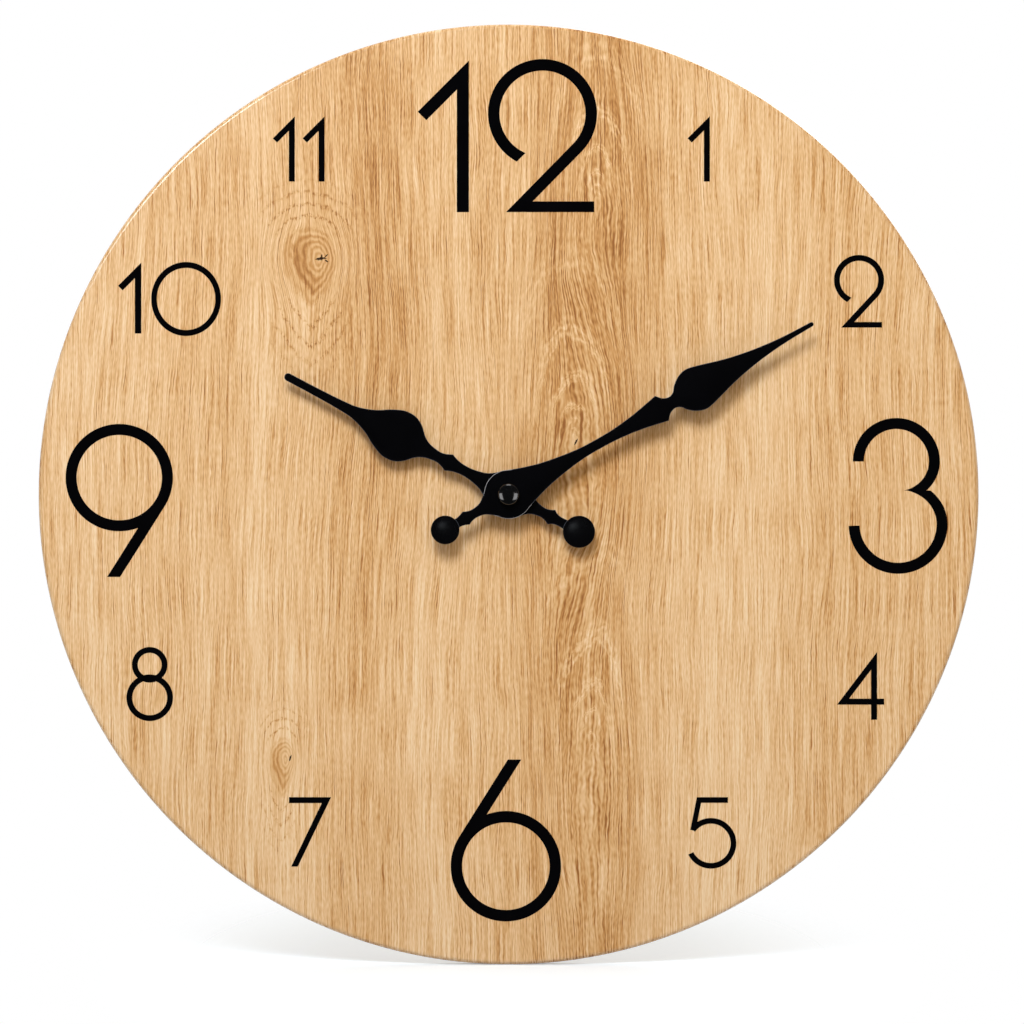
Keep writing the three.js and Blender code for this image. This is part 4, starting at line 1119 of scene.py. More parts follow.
class Stroke:
    """A stroke of a numeral or of a moulded mark."""

    cuts: tuple[Cut, ...] = ()

    def uncut(self, rear: float, front: float) -> BMesh:
        """Makes the whole stroke between two depths."""
        raise NotImplementedError

    def shape(self, rear: float, front: float) -> BMesh:
        """Makes the stroke and takes off what lies past its cuts.

        Args:
            rear: The depth of its rear face.
            front: The depth of its front face.

        Returns:
            The closed shape.
        """
        solid = self.uncut(rear, front)
        for cut in self.cuts:
            trimmed(solid, cut.point, cut.outwards)
        return solid


@dataclass(frozen=True)
class Bar(Stroke):
    """A straight stroke, from the middle of one end to the middle of the other."""

    start: Place
    end: Place
    width: float
    cuts: tuple[Cut, ...] = ()

    def uncut(self, rear: float, front: float) -> BMesh:
        """Makes the whole stroke between two depths.

        Args:
            rear: The depth of its rear face.
            front: The depth of its front face.

        Returns:
            The closed shape.
        """
        start, end = Vector(self.start), Vector(self.end)
        along = (end - start).normalized()
        side = Vector((-along.y, along.x)) * self.width / 2
        corners = (start + side, start - side, end - side, end + side)
        return plate([tuple(corner) for corner in corners], rear, front)


@dataclass(frozen=True)
class Bow(Stroke):
    """A round stroke: its centre, the radius of its middle line, and where it runs.

    It runs clockwise from one bearing through a sweep. Stretch widens it along X and Z, and the upper
    and lower halves may be flatter than a circle.
    """

    centre: Place
    radius: float
    width: float
    start: float = 0.0
    sweep: float = 360.0
    stretch: Place = (1.0, 1.0)
    flatter: Place = (1.0, 1.0)
    cuts: tuple[Cut, ...] = ()

    def uncut(self, rear: float, front: float) -> BMesh:
        """Makes the whole stroke between two depths.

        Args:
            rear: The depth of its rear face.
            front: The depth of its front face.

        Returns:
            The closed shape.
        """
        full = self.sweep >= 360
        solid = bmesh.new()
        inside, outside = self.radius - self.width / 2, self.radius + self.width / 2
        corners = [(inside, rear), (outside, rear), (outside, front), (inside, front)]
        section = [solid.verts.new((0.0, -depth, radius)) for radius, depth in corners]
        edges = [solid.edges.new((section[i - 1], section[i])) for i in range(4)]
        bmesh.ops.spin(solid, geom=section + edges, cent=(0, 0, 0), axis=(0, 1, 0),
                       angle=math.radians(self.sweep), steps=max(8, round(self.sweep / 3)), use_merge=full)
        if not full:
            bmesh.ops.holes_fill(solid, edges=[edge for edge in solid.edges if edge.is_boundary])
        turn = Matrix.Rotation(math.radians(self.start), 3, "Y")
        bmesh.ops.rotate(solid, verts=solid.verts, cent=(0, 0, 0), matrix=turn)
        for vert in solid.verts:
            half = self.flatter[0] if vert.co.z > 0 else self.flatter[1]
            vert.co = (vert.co.x * self.stretch[0], vert.co.y, vert.co.z * self.stretch[1] * half)
        bmesh.ops.translate(solid, verts=solid.verts, vec=(self.centre[0], 0, self.centre[1]))
        bmesh.ops.recalc_face_normals(solid, faces=solid.faces)
        return solid


@dataclass(frozen=True)
class Wedge(Stroke):
    """The head of an arrow: the middle of its base, the bearing that it points to, and its size."""

    base: Place
    bearing: float
    half_width: float
    length: float

    def uncut(self, rear: float, front: float) -> BMesh:
        """Makes the head between two depths.

        Args:
            rear: The depth of its rear face.
            front: The depth of its front face.

        Returns:
            The closed shape.
        """
        corners = [
            towards(self.bearing + 90, -self.half_width, self.base),
            towards(self.bearing + 90, self.half_width, self.base),
            towards(self.bearing, self.length, self.base),
        ]
        return plate(corners, rear, front)


UP_LEFT = (-1.0, 1.0)
DOWN_RIGHT = (1.0, -1.0)
UP, DOWN, RIGHT = (0.0, 1.0), (0.0, -1.0), (1.0, 0.0)


def figure_one(right: float, top: float, bottom: float, width: float, reach: float) -> list[Stroke]:
    """Draws a 1 with a straight flag that falls to the left at 45 degrees.

    Args:
        right: The right side of its upright.
        top: The top of the upright.
        bottom: The foot of the upright.
        width: The width of both strokes.
        reach: How far left of the upright's right side the flag ends.

    Returns:
        The upright and the flag.
    """
    middle = right - width / 2
    peak = (right, top)
    inset = width / 2 / math.sqrt(2)
    flag_start = (right + inset, top - inset)
    flag_end = (right - reach + inset, top - reach - inset)
    upright = Bar((middle, bottom), (middle, top), width, (Cut(peak, UP_LEFT),))
    return [upright, Bar(flag_start, flag_end, width, (Cut(peak, RIGHT),))]


def figure_two(centre: Place, radius: float, width: float, tip: float, right: float, bottom: float,
               foot: float) -> list[Stroke]:
    """Draws a 2 as an open ring, a slope at its tangent and a straight foot.

    Args:
        centre: The ring's centre.
        radius: The radius of the ring's middle line.
        width: The width of the ring and the slope.
        tip: Where the slope's left side meets the base line.
        right: The right end of the foot.
        bottom: The height of the base line.
        foot: The thickness of the foot.

    Returns:
        The ring, the slope and the foot.
    """
    leave = towards(135, radius, centre)
    hook = (centre[0] - 0.474 * radius, centre[1] - 0.933 * radius)
    land = (tip + width / math.sqrt(2), bottom)
    slope = Vector(land) - Vector(leave)
    past = tuple(Vector(land) + slope.normalized() * width)
    back = tuple(Vector(leave) - slope.normalized() * width * 0.1)
    base = Cut((0.0, bottom), DOWN)
    return [
        Bow(centre, radius, width, 196, 94, cuts=(Cut(hook, DOWN_RIGHT),)),
        Bow(centre, radius, width, 285, 210.5),
        Bar(back, past, width, (base,)),
        Bar((land[0] + width * 0.4, bottom + foot / 2), (right, bottom + foot / 2), foot),
    ]


def ring_and_tail(centre: Place, radius: float, width: float, turned_over: bool, end: float) -> list[Stroke]:
    """Draws a 6, or a 9 as the same figure turned over: a ring with a straight tail at its tangent.

    Args:
        centre: The ring's centre.
        radius: The radius of the ring's middle line.
        width: The width of both strokes.
        turned_over: Whether it is a 9.
        end: The height that the tail is cut level at.

    Returns:
        The ring and the tail.
    """
    lean = 32.2
    touch = towards(lean + (90 if turned_over else -90), radius, centre)
    reach = abs(end - touch[1]) / math.cos(math.radians(lean)) + width
    past = towards(lean + (180 if turned_over else 0), reach, touch)
    level = Cut((0.0, end), DOWN if turned_over else UP)
    return [Bow(centre, radius, width), Bar(touch, past, width, (level,))]


def large_three() -> list[Stroke]:
    """Draws the 3 as two bows that meet at a waist.

    Returns:
        Its strokes.
    """
    waist = 1.24
    width = 3.5
    return [
        Bow((123.6, 10.5), 12.12, width, 270, 270, flatter=(1.0, 0.92), cuts=(Cut((0, waist), DOWN),)),
        Bow((124.15, -9.5), 14.03, width, 0, 268, flatter=(0.9, 1.0), cuts=(Cut((0, waist + 0.01), UP),)),
    ]


def small_four() -> list[Stroke]:
    """Draws the 4 as an upright, a slope from its top to the left, and a level bar.

    Returns:
        Its strokes.
    """
    width = 1.9
    right, top = 117.45, -50.2
    left_point = (104.7, -67.0)
    slope = (Vector((right, top)) - Vector(left_point)).normalized()
    edge = Cut(left_point, (-slope.y, slope.x))
    inset = Vector((slope.y, -slope.x)) * width / 2
    start, end = Vector(left_point) + inset, Vector((right, top)) + inset
    middle, level = right - width / 2, left_point[1] + width / 2
    return [
        Bar((middle, -71.8), (middle, top), width, (edge,)),
        Bar(tuple(start), tuple(end), width, (Cut((right, top), RIGHT), Cut(left_point, DOWN))),
        Bar((left_point[0] - 1, level), (119.7, level), width, (edge,)),
    ]


def small_five() -> list[Stroke]:
    """Draws the 5 as a level bar, a leaning stroke and a bowl.

    Returns:
        Its strokes.
    """
    width = 1.8
    centre = (64.5, -111.2)
    radius = 7.17
    knee = towards(308, radius, centre)
    head = (60.95, -96.5)
    level = -97.4
    return [
        Bar((60.1, level), (69.9, level), width),
        Bar((head[0], head[1] + 0.4), (knee[0] - 0.1, knee[1] - 0.3), 1.7, (Cut((0, head[1]), UP),)),
        Bow(centre, radius, width, 306, 297.5),
    ]


def small_seven() -> list[Stroke]:
    """Draws the 7 as a level bar and a slope.

    Returns:
        Its strokes.
    """
    width = 1.88
    top = -96.5
    foot = (-68.25, -118.6)
    lean = 25.7
    cosine, sine = math.cos(math.radians(lean)), math.sin(math.radians(lean))
    right_edge = (foot[0] + width / 2 / cosine, foot[1])
    level = top - width / 2
    ends = (Cut((0, top), UP), Cut((0, foot[1]), DOWN))
    return [
        Bar((-70.0, level), (-55.5, level), width, (Cut(right_edge, (cosine, -sine)),)),
        Bar(towards(lean, -2.0, foot), towards(lean, 26.0, foot), width, ends),
    ]


@dataclass
class Numerals:
    """The printed hour numerals. The four quarters are large."""

    ink: float = 0.05
    sunk: float = 0.01
    large: float = 3.67
    small: float = 1.9
    eight: float = 1.85

    def figures(self) -> dict[int, list[Stroke]]:
        """Gives the strokes of each hour.

        Returns:
            The strokes by hour.
        """
        small = self.small
        return {
            1: figure_one(64.15, 120.6, 99.75, small, 7.1),
            2: figure_two((111.7, 68.35), 7.05, 1.85, 105.97, 119.0, 53.2, 1.75),
            3: large_three(),
            4: small_four(),
            5: small_five(),
            6: ring_and_tail((-0.86, -118.5), 15.78, 3.63, False, -84.5),
            7: small_seven(),
            8: [Bow((-114.4, -54.3), 4.75, self.eight), Bow((-114.4, -64.8), 6.5, self.eight)],
            9: ring_and_tail((-124.1, 5.36), 15.35, 3.5, True, -26.3),
            10: [*figure_one(-117.08, 73.9, 51.3, 2.05, 7.4),
                 Bow((-102.8, 62.3), 10.85, small, stretch=(0.943, 1.0))],
            11: figure_one(-68.15, 120.5, 99.75, small, 7.0) + figure_one(-58.65, 120.5, 99.75, small, 7.0),
            12: figure_one(-12.66, 138.3, 90.0, 3.85, 16.3)
            + figure_two((10.81, 121.4), 15.54, self.large, -0.83, 27.3, 90.0, 3.4),
        }

    def build(self) -> None:
        """Makes one piece of each hour's figures, printed on the dial board."""
        face = front_of("dial_board")
        for hour, figures in self.figures().items():
            strokes = [stroke.shape(face - self.sunk, face + self.ink) for stroke in figures]
            shape = combined(strokes[0], strokes[1:])
            finished(f"numeral_{hour}", shape, INK, "clock", sharp=30.0)


@dataclass
class DialBoard:
    """The round board: its radius, its edges and the hole for the bushing."""

    radius: float = 150.0
    front_round: float = 1.6
    rear_round: float = 0.5
    hole: float = 4.15
    hole_edge: float = 0.5
    middle: float = 75.0
    segments: int = 288

    def build(self) -> None:
        """Makes the board, with oak on its front and side and bare fibreboard behind."""
        rear, front = rear_of("dial_board"), front_of("dial_board")
        profile = [
            (self.hole, rear),
            *rounded(self.radius - self.rear_round, rear + self.rear_round, self.rear_round, -90, 0, 4),
            *rounded(self.radius - self.front_round, front - self.front_round, self.front_round, 0, 90, 8),
            (self.middle, front),
            (self.hole, front),
        ]
        shape = turned(profile, self.segments, closed=True)
        piece = finished("clock_board", shape, OAK, "clock")
        piece.data.materials.append(FIBREBOARD.material())
        for face in piece.data.polygons:
            backwards = face.normal.y > FACING
            in_the_hole = math.hypot(face.center.x, face.center.z) < (self.hole + self.hole_edge) * MM
            face.material_index = int(backwards or in_the_hole)
        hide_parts("dial_board")


# Hands

def smooth_curve(stations: Sequence[Place], spacing: float) -> list[Place]:
    """Gives points on a smooth curve through stations.

    Args:
        stations: The distance along the hand and the half width at each station.
        spacing: The greatest distance between two points.

    Returns:
        The points, which start and end on the first and last station.
    """
    points: list[Place] = []
    given = [Vector(station) for station in stations]
    for index in range(len(given) - 1):
        before = given[max(index - 1, 0)]
        start, end = given[index], given[index + 1]
        after = given[min(index + 2, len(given) - 1)]
        out, into = (end - before) / 2, (after - start) / 2
        steps = max(1, math.ceil((end - start).length / spacing))
        for step in range(steps):
            t = step / steps
            place = ((2 * t**3 - 3 * t**2 + 1) * start + (t**3 - 2 * t**2 + t) * out
                     + (3 * t**2 - 2 * t**3) * end + (t**3 - t**2) * into)
            points.append((place.x, place.y))
    points.append(tuple(given[-1]))
    return points


class HandSlot(Enum):
    """The material slots of a hand after its paint."""

    DOME = 1
    RUBBED = 2
    CUT = 3


@dataclass
class Hand:
    """A pressed hand. Each row of stations holds the distance from the axis and the half width there.

    The rows meet at corners: the arm runs from the hub to the shoulder, the leaf from there to the tip,
    and the tail and the neck run back from the hub to the dome.
    """

    name: str
    body: str
    bearing: float
    arm: tuple[Place, ...]
    leaf: tuple[Place, ...]
    tail: tuple[Place, ...]
    neck: tuple[Place, ...]
    dome_centre: float
    dome_radius: float
    hole_radius: float
    hub_radius: float = 7.74
    sheet: float = 0.5
    dome_rise: float = 0.9
    dome_rim: float = 1.2
    dome_wall: float = 0.1
    spacing: float = 0.5
    edge: float = 0.13
    edge_steps: int = 3
    hole_margin: float = 0.5
    hub_steps: int = 24
    segments: int = 72
    rubbed_hub: bool = False

    def side(self) -> list[Place]:
        """Gives one side's points, from the tip back over the hub to the end of the neck.

        Returns:
            The distance along the hand and the half width of each point.
        """
        tip_distance, tip_half = self.leaf[-1]
        tip = [(tip_distance + tip_half * math.cos(math.radians(a)), tip_half * math.sin(math.radians(a)))
               for a in (15, 30, 45, 60, 75)]
        arm_start = math.degrees(math.atan2(self.arm[0][1], self.arm[0][0]))
        tail_start = 180 - math.degrees(math.atan2(self.tail[0][1], self.tail[0][0]))
        hub = [towards(arm_start + (tail_start - arm_start) * step / self.hub_steps, self.hub_radius)
               for step in range(1, self.hub_steps)]
        backwards = [(-distance, half) for distance, half in
                     smooth_curve(self.tail, self.spacing) + smooth_curve(self.neck, self.spacing)[1:]]
        return [
            *tip,
            *reversed(smooth_curve(self.leaf, self.spacing)),
            *list(reversed(smooth_curve(self.arm, self.spacing)))[1:],
            *[(z, x) for x, z in hub],
            *backwards,
        ]

    def build(self) -> None:
        """Makes the hand with its softened edges and its domed tail, and turns it to its bearing."""
        rear = rear_of(self.name)
        front = rear + self.sheet
        side = self.side()
        outline = [(half, along) for along, half in side] + [(-half, along) for along, half in reversed(side)]
        outline.append((0.0, self.leaf[-1][0] + self.leaf[-1][1]))
        sheet = plate(outline, rear, front)
        dome = self.dome(self.dome_radius, rear, front, self.dome_rise, 12)
        hollow_radius, hollow_rise = self.dome_radius - self.dome_rim, self.dome_rise - self.dome_wall
        hollow = self.dome(hollow_radius, rear - 1, rear, hollow_rise, 8)
        bore = turned([(0.0, rear - 1), (self.hole_radius, rear - 1), (self.hole_radius, front + 1),
                       (0.0, front + 1)], 48)
        shape = combined(combined(sheet, [dome]), [hollow, bore], "DIFFERENCE")
        past_the_hole = self.hole_radius + self.hole_margin

        def on_the_front(edge: bmesh.types.BMEdge) -> bool:
            """Tells whether an edge lies in the front face, outside the hub's hole."""
            middle = (edge.verts[0].co + edge.verts[1].co) / 2
            return at_depth(edge, front) and math.hypot(middle.x, middle.z) > past_the_hole

        softened(shape, self.edge, 60.0, self.edge_steps, on_the_front)
        turn = Matrix.Rotation(math.radians(self.bearing), 3, "Y")
        bmesh.ops.rotate(shape, verts=shape.verts, cent=(0, 0, 0), matrix=turn)
        piece = finished(f"{self.name}_painted", shape, HAND_PAINT, self.body, sharp=50.0)
        for finish in (DOME_PAINT, HUB_EDGE_AND_HIGHLIGHT, CUT_EDGE_AND_SHEEN):
            piece.data.materials.append(finish.material())
        dome_at = towards(self.bearing, -self.dome_centre)
        for face in piece.data.polygons:
            x, z = face.center.x / MM, face.center.z / MM
            reach = math.hypot(x, z)
            in_the_dome = math.hypot(x - dome_at[0], z - dome_at[1]) < self.dome_radius - 0.05
            # The sloping edge faces get greys that are partly the bare cut edge and partly painted sheen or
            # highlight.
            sloping = -0.97 < face.normal.y < -0.1
            if in_the_dome and face.normal.y < 0:
                face.material_index = HandSlot.DOME.value
            elif sloping and reach > past_the_hole:
                # The hub's edge gets the paler grey: partly bare edge, partly painted highlight.
                on_hub_highlight = self.rubbed_hub and reach < self.hub_radius + 0.2
                face.material_index = (HandSlot.RUBBED if on_hub_highlight else HandSlot.CUT).value
        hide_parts(self.name)

    def dome(self, radius: float, rear: float, base: float, rise: float, steps: int) -> BMesh:
        """Turns the dome on the tail, or the hollow behind it.

        Args:
            radius: Its radius.
            rear: The depth of its flat rear.
            base: The depth at which its round begins.
            rise: How far the round rises from there.
            steps: How many steps the round has.

        Returns:
            The closed shape, in its place on the tail.
        """
        profile = [(0.0, rear), (radius, rear), *rounded_dome(radius, base, rise, steps)]
        shape = turned(profile, self.segments)
        bmesh.ops.translate(shape, verts=shape.verts, vec=(0, 0, -self.dome_centre))
        return shape


def rounded_dome(radius: float, base: float, rise: float, steps: int) -> list[Place]:
    """Gives the profile of a dome, from its rim to its top on the axis.

    Args:
        radius: The dome's radius.
        base: The depth of its rim.
        rise: How far it rises from there.
        steps: How many steps it has.

    Returns:
        The points of radius and depth.
    """
    angles = [math.pi / 2 * step / steps for step in range(steps)]
    points = [(radius * math.cos(angle), base + rise * math.sin(angle)) for angle in angles]
    return [*points, (0.0, base + rise)]


MINUTE_HAND = Hand(
    name="minute_hand", body="minute", bearing=60.7,
    arm=((2.2, 7.42), (6, 5.95), (12.5, 4), (19, 2.72), (26, 1.8), (32, 1.6), (39, 1.8), (47, 2.75),
         (55.7, 4.5)),
    leaf=((55.7, 4.5), (57.4, 2.7), (59.4, 2.03), (61.2, 2.7), (62.6, 4.4), (65, 6.2), (67.8, 7.05),
          (71, 6.6), (80.3, 3.98), (88, 2.4), (95.6, 1.4), (102, 0.95), (110, 0.72)),
    tail=((6.3, 4.5), (7.7, 3.25), (9.6, 2), (12, 1.5), (14, 1.72), (15.4, 2.35)),
    neck=((15.4, 2.35), (16.6, 1.87), (18, 1.52), (19.3, 1.6)),
    dome_centre=23.05, dome_radius=4.55, hole_radius=1.8, edge=0.2, rubbed_hub=True,
)

HOUR_HAND = Hand(
    name="hour_hand", body="hour", bearing=-62.0,
    arm=((5.9, 5), (7.5, 3.7), (9.6, 2.6), (12.7, 1.87), (15.9, 1.6), (19.1, 2), (21.5, 2.9)),
    leaf=((21.5, 2.9), (23.4, 2.05), (25.6, 1.7), (29.3, 2.35), (31.9, 3.8), (34.4, 6.3), (36.9, 7.75),
          (39.2, 8.15), (42, 7.85), (45.9, 6.1), (49.7, 3.9), (54.8, 2.15), (60, 1.57), (70, 1.3),
          (79.2, 1.27)),
    tail=((6.3, 4.5), (7.6, 3.25), (9.2, 2.2), (12.1, 1.6), (14, 1.95), (15.4, 2.6)),
    neck=((15.4, 2.6), (16.8, 1.75), (18.6, 1.47), (21, 1.6)),
    dome_centre=25.3, dome_radius=5.1, hole_radius=2.65,
)


@dataclass
class CapNut:
    """The domed cap on the end of the minute arbor."""

    radius: float = 3.4
    skirt: float = 2.3
    chamfer: float = 0.25
    bore: float = 1.6
    bore_depth: float = 2.05
    segments: int = 96

    def build(self) -> None:
        """Makes the cap with a fine dome, a chamfered foot and its blind bore."""
        rear, front = rear_of("cap_nut"), front_of("cap_nut")
        seam = rear + self.skirt
        profile = [
            (0.0, rear + self.bore_depth), (self.bore, rear + self.bore_depth), (self.bore, rear),
            (self.radius - self.chamfer, rear), (self.radius, rear + self.chamfer),
            *rounded_dome(self.radius, seam, front - seam, 20),
        ]
        shape = turned(profile, self.segments)
        piece = finished("cap_nut_polished", shape, CAP_PAINT, "minute", sharp=40.0)
        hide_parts("cap_nut")


# The movement behind the board

def bare_copy(node: str) -> BMesh:
    """Copies a node's mesh, with its loose triangles joined into flat faces.

    Args:
        node: The node's name.

    Returns:
        The copy in millimetres.
    """
    shape = bmesh.new()
    shape.from_mesh(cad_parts[node].data)
    bmesh.ops.scale(shape, verts=shape.verts, vec=(1 / MM, 1 / MM, 1 / MM))
    bmesh.ops.remove_doubles(shape, verts=shape.verts, dist=MERGE)
    bmesh.ops.dissolve_limit(shape, angle_limit=math.radians(0.5), verts=shape.verts, edges=shape.edges)
    return shape


def setting_marks(centre: Place, radius: float) -> list[Stroke]:
    """Draws an arrow on each side of the setting knob, which shows that it turns both ways.

    Args:
        centre: The knob's centre.
        radius: The radius of the arrows' shafts.

    Returns:
        The shafts and their heads.
    """
    marks: list[Stroke] = []
    for start, way in ((55.0, 1), (305.0, -1)):
        first, last = sorted((start, start + way * 62.0))
        marks.append(Bow(centre, radius, 1.0, first, last - first))
        marks.append(Wedge(towards(start + way * 61.0, radius, centre), start + way * 155.0, 1.5, 2.6))
    return marks


def pole_marks(across: float, height: float, reach: float) -> list[Stroke]:
    """Draws a plus and a minus beside the ends of the battery bay.

    Args:
        across: How far to each side their middles are.
        height: The height of their middles.
        reach: The length of each arm.

    Returns:
        The three strokes.
    """
    width = 1.1
    level = [Bar((middle - reach, height), (middle + reach, height), width) for middle in (across, -across)]
    return [level[0], Bar((across, height - reach), (across, height + reach), width), level[1]]


@dataclass
class Moulding:
    """A moulded or turned piece that keeps its node's form and gets soft edges and sunk marks."""

    node: str
    body: str
    finish: Finish
    edge: float
    sharp: float = 35.0
    marks: list[Stroke] = field(default_factory=list)
    mark_depth: float = 0.45

    def build(self) -> None:
        """Makes the piece with a bevel on its sharp edges."""
        shape = bare_copy(self.node)
        if self.marks:
            rear = rear_of(self.node)
            floor = rear + self.mark_depth
            tools = [mark.shape(rear - 1.0, floor) for mark in self.marks]
            shape = combined(shape, tools, "DIFFERENCE")
            # The floors of the marks get the paler grey of the painted sheen.
            for face in shape.faces:
                face.material_index = int(at_depth(face, floor))
        piece = finished(f"{self.node}_finished", shape, self.finish, self.body, self.sharp)
        if self.marks:
            piece.data.materials.append(MARK_FLOOR_SHEEN.material())
        bevel = piece.modifiers.new("soft edges", "BEVEL")
        bevel.width = self.edge * MM
        bevel.segments = 2
        bevel.limit_method = "ANGLE"
        bevel.angle_limit = math.radians(self.sharp)
        shading = piece.modifiers.new("flat faces", "WEIGHTED_NORMAL")
        shading.mode = "FACE_AREA"
        shading.weight = 100
        shading.keep_sharp = True
        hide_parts(self.node)


@dataclass
class Bushing:
    """The threaded bushing that clamps the movement to the board."""

    radius: float = 3.9
    bore: float = 2.75
    flange_radius: float = 5.6
    flange: float = 0.85
    pitch: float = 0.75
    groove: float = 0.4
    relief: float = 0.4
    chamfer: float = 0.3
    inner_chamfer: float = 0.2
    segments: int = 72

    def build(self) -> None:
        """Turns the flange, the bore and the ridges of the thread."""
        rear, front = rear_of("threaded_bushing"), front_of("threaded_bushing")
        thread_from = rear + self.flange + self.relief
        turns = int((front - self.chamfer - thread_from) / self.pitch)
        ridges: list[Place] = []
        for turn in range(turns):
            start = thread_from + turn * self.pitch
            ridges += [(self.radius, start), (self.radius, start + self.pitch * 0.15),
                       (self.radius - self.groove, start + self.pitch * 0.5),
                       (self.radius - self.groove, start + self.pitch * 0.65)]
        profile = [
            (self.bore, rear), (self.flange_radius, rear), (self.flange_radius, rear + self.flange),
            (self.radius, rear + self.flange), *ridges, (self.radius, front - self.chamfer),
            (self.radius - self.chamfer, front), (self.bore + self.inner_chamfer, front),
            (self.bore, front - self.inner_chamfer),
        ]
        shape = turned(profile, self.segments, closed=True)
        piece = finished("threaded_bushing_turned", shape, BRASS, "clock", sharp=30.0)
        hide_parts("threaded_bushing")


@dataclass
class Movement:
    """The quartz movement: mouldings with soft edges, and the finish of every piece inside."""

    mouldings: tuple[Moulding, ...] = (
        Moulding("movement_case", "clock", CASE_PLASTIC, 0.2),
        Moulding("rear_cover", "clock", COVER_PLASTIC, 0.15,
                 marks=setting_marks((0.0, 10.2), 9.4) + pole_marks(21.5, -6.0, 2.0)),
        Moulding("setting_knob", "setting", KNOB_PLASTIC, 0.15, sharp=50.0),
        Moulding("hex_nut", "clock", NICKEL, 0.12),
        Moulding("flat_washer", "clock", STEEL, 0.08),
        Moulding("rubber_washer", "clock", RUBBER, 0.15),
    )
    dressing: tuple[tuple[Finish, tuple[str, ...]], ...] = (
        (BRASS, ("hour_hand_collet", "minute_arbor")),
        (SPRING_STEEL, ("clutch_spring", "contact_positive", "contact_negative")),
        (NICKEL, ("quartz_crystal",)),
        (STEEL, ("stator_left", "stator_right", "coil_core")),
        (WHITE_PLASTIC, ("centre_drive_wheel", "third_wheel", "seconds_wheel", "intermediate_wheel",
                         "rotor_pinion", "hour_wheel", "motion_wheel")),
        (PLATE_PLASTIC, ("middle_plate", "coil_bobbin")),
        (FERRITE, ("rotor_magnet",)),
        (Winding(), ("coil_winding",)),
        (Laminate(), ("circuit_board",)),
        (RESIN, ("chip_seal",)),
    )

    def build(self) -> None:
        """Makes the bushing and the mouldings, and gives every other node its finish."""
        Bushing().build()
        for moulding in self.mouldings:
            moulding.build()
        for finish, nodes in self.dressing:
            for node in nodes:
                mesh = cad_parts[node].data
                mesh.materials.clear()
                mesh.materials.append(finish.material())
                LOG.info("%s: finished in %s", node, finish.name)


@dataclass
class BatteryCell:
    """A cell with a sleeved can, rolled ends, a contact button and a flat foot."""

    radius: float = 7.25
    sleeve: float = 0.12
    roll: float = 0.7
    button_radius: float = 2.75
    button: float = 1.0
    ring_radius: float = 4.6
    segments: int = 72

    def build(self) -> None:
        """Turns the can, the sleeve and the insulating ring, and lays them along the bay."""
        low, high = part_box("battery_cell")
        left, right = low.x / MM, high.x / MM
        shoulder = right - self.button
        inner = self.radius - self.sleeve
        can = [
            (0.0, left), (self.ring_radius, left), (self.ring_radius + 0.3, left + 0.25),
            *rounded(inner - self.roll, left + self.roll, self.roll, -90, 0, 5),
            *rounded(inner - self.roll, shoulder - self.roll, self.roll, 0, 90, 5),
            (self.ring_radius, shoulder - 0.3), (self.button_radius, shoulder - 0.3),
            *rounded(self.button_radius - 0.35, right - 0.35, 0.35, 0, 90, 4),
            (0.0, right),
        ]
        sleeve = [
            (inner - 0.9, left + 0.3), (inner - 0.25, left + 0.05), (self.radius, left + 0.75),
            (self.radius, shoulder - 0.75), (inner - 0.25, shoulder - 0.05), (inner - 0.9, shoulder - 0.3),
            (inner - 0.02, shoulder - 0.8), (inner - 0.02, left + 0.8),
        ]
        ring = [
            (self.button_radius + 0.1, shoulder - 0.28), (self.ring_radius - 0.1, shoulder - 0.28),
            (self.ring_radius - 0.1, shoulder - 0.05), (self.button_radius + 0.1, shoulder - 0.05),
        ]
        piece = self.laid("battery_can", turned(can, self.segments), NICKEL)
        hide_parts("battery_cell")
        self.laid("battery_sleeve", turned(sleeve, self.segments, closed=True), CellJacket())
        self.laid("battery_ring", turned(ring, self.segments, closed=True), PLATE_PLASTIC)

    def laid(self, name: str, shape: BMesh, finish: Finish) -> bpy.types.Object:
        """Lays a shape turned about the hands' axis along X instead, on the axis of the battery's box.

        Args:
            name: The piece's name.
            shape: Its shape, whose depth becomes the place along X.
            finish: What its surface is.

        Returns:
            The finished piece.
        """
        low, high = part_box("battery_cell")
        middle = (low + high) / 2 / MM
        for vert in shape.verts:
            x, y, z = vert.co
            vert.co = (-y, x + middle.y, z + middle.z)
        bmesh.ops.recalc_face_normals(shape, faces=shape.faces)
        return finished(name, shape, finish, "battery", sharp=30.0)


# The studio

@dataclass(frozen=True)
class Lamp:
    """A square soft lamp: where it stands, what it faces, its size in metres and its power in watts.

    A lamp may be left out of mirrored light, or be seen in mirrored light alone, and it may shine only on
    the pieces that it names.
    """

    name: str
    place: tuple[float, float, float]
    target: tuple[float, float, float]
    size: float
    power: float
    colour: tuple[float, float, float] = (1.0, 1.0, 1.0)
    mirrored: bool = True
    spread: bool = True
    pieces: tuple[str, ...] = ()

    def build(self) -> None:
        """Makes the lamp and turns it to its target."""
        light = bpy.data.lights.new(self.name, "AREA")
        light.size = self.size
        light.energy = self.power
        light.color = self.colour
        lamp = linked(self.name, light)
        lamp.location = self.place
        aim = Vector(self.target) - Vector(self.place)
        lamp.rotation_euler = aim.to_track_quat("-Z", "Y").to_euler()
        lamp.visible_glossy = self.mirrored
        lamp.visible_diffuse = self.spread
        lamp.visible_camera = False

    def limit(self) -> None:
        """Makes the lamp shine only on the pieces that it names, if it names any."""
        if self.pieces:
            lit = bpy.data.collections.new(self.name)
            for piece in self.pieces:
                lit.objects.link(bpy.data.objects[piece])
            bpy.data.objects[self.name].light_linking.receiver_collection = lit


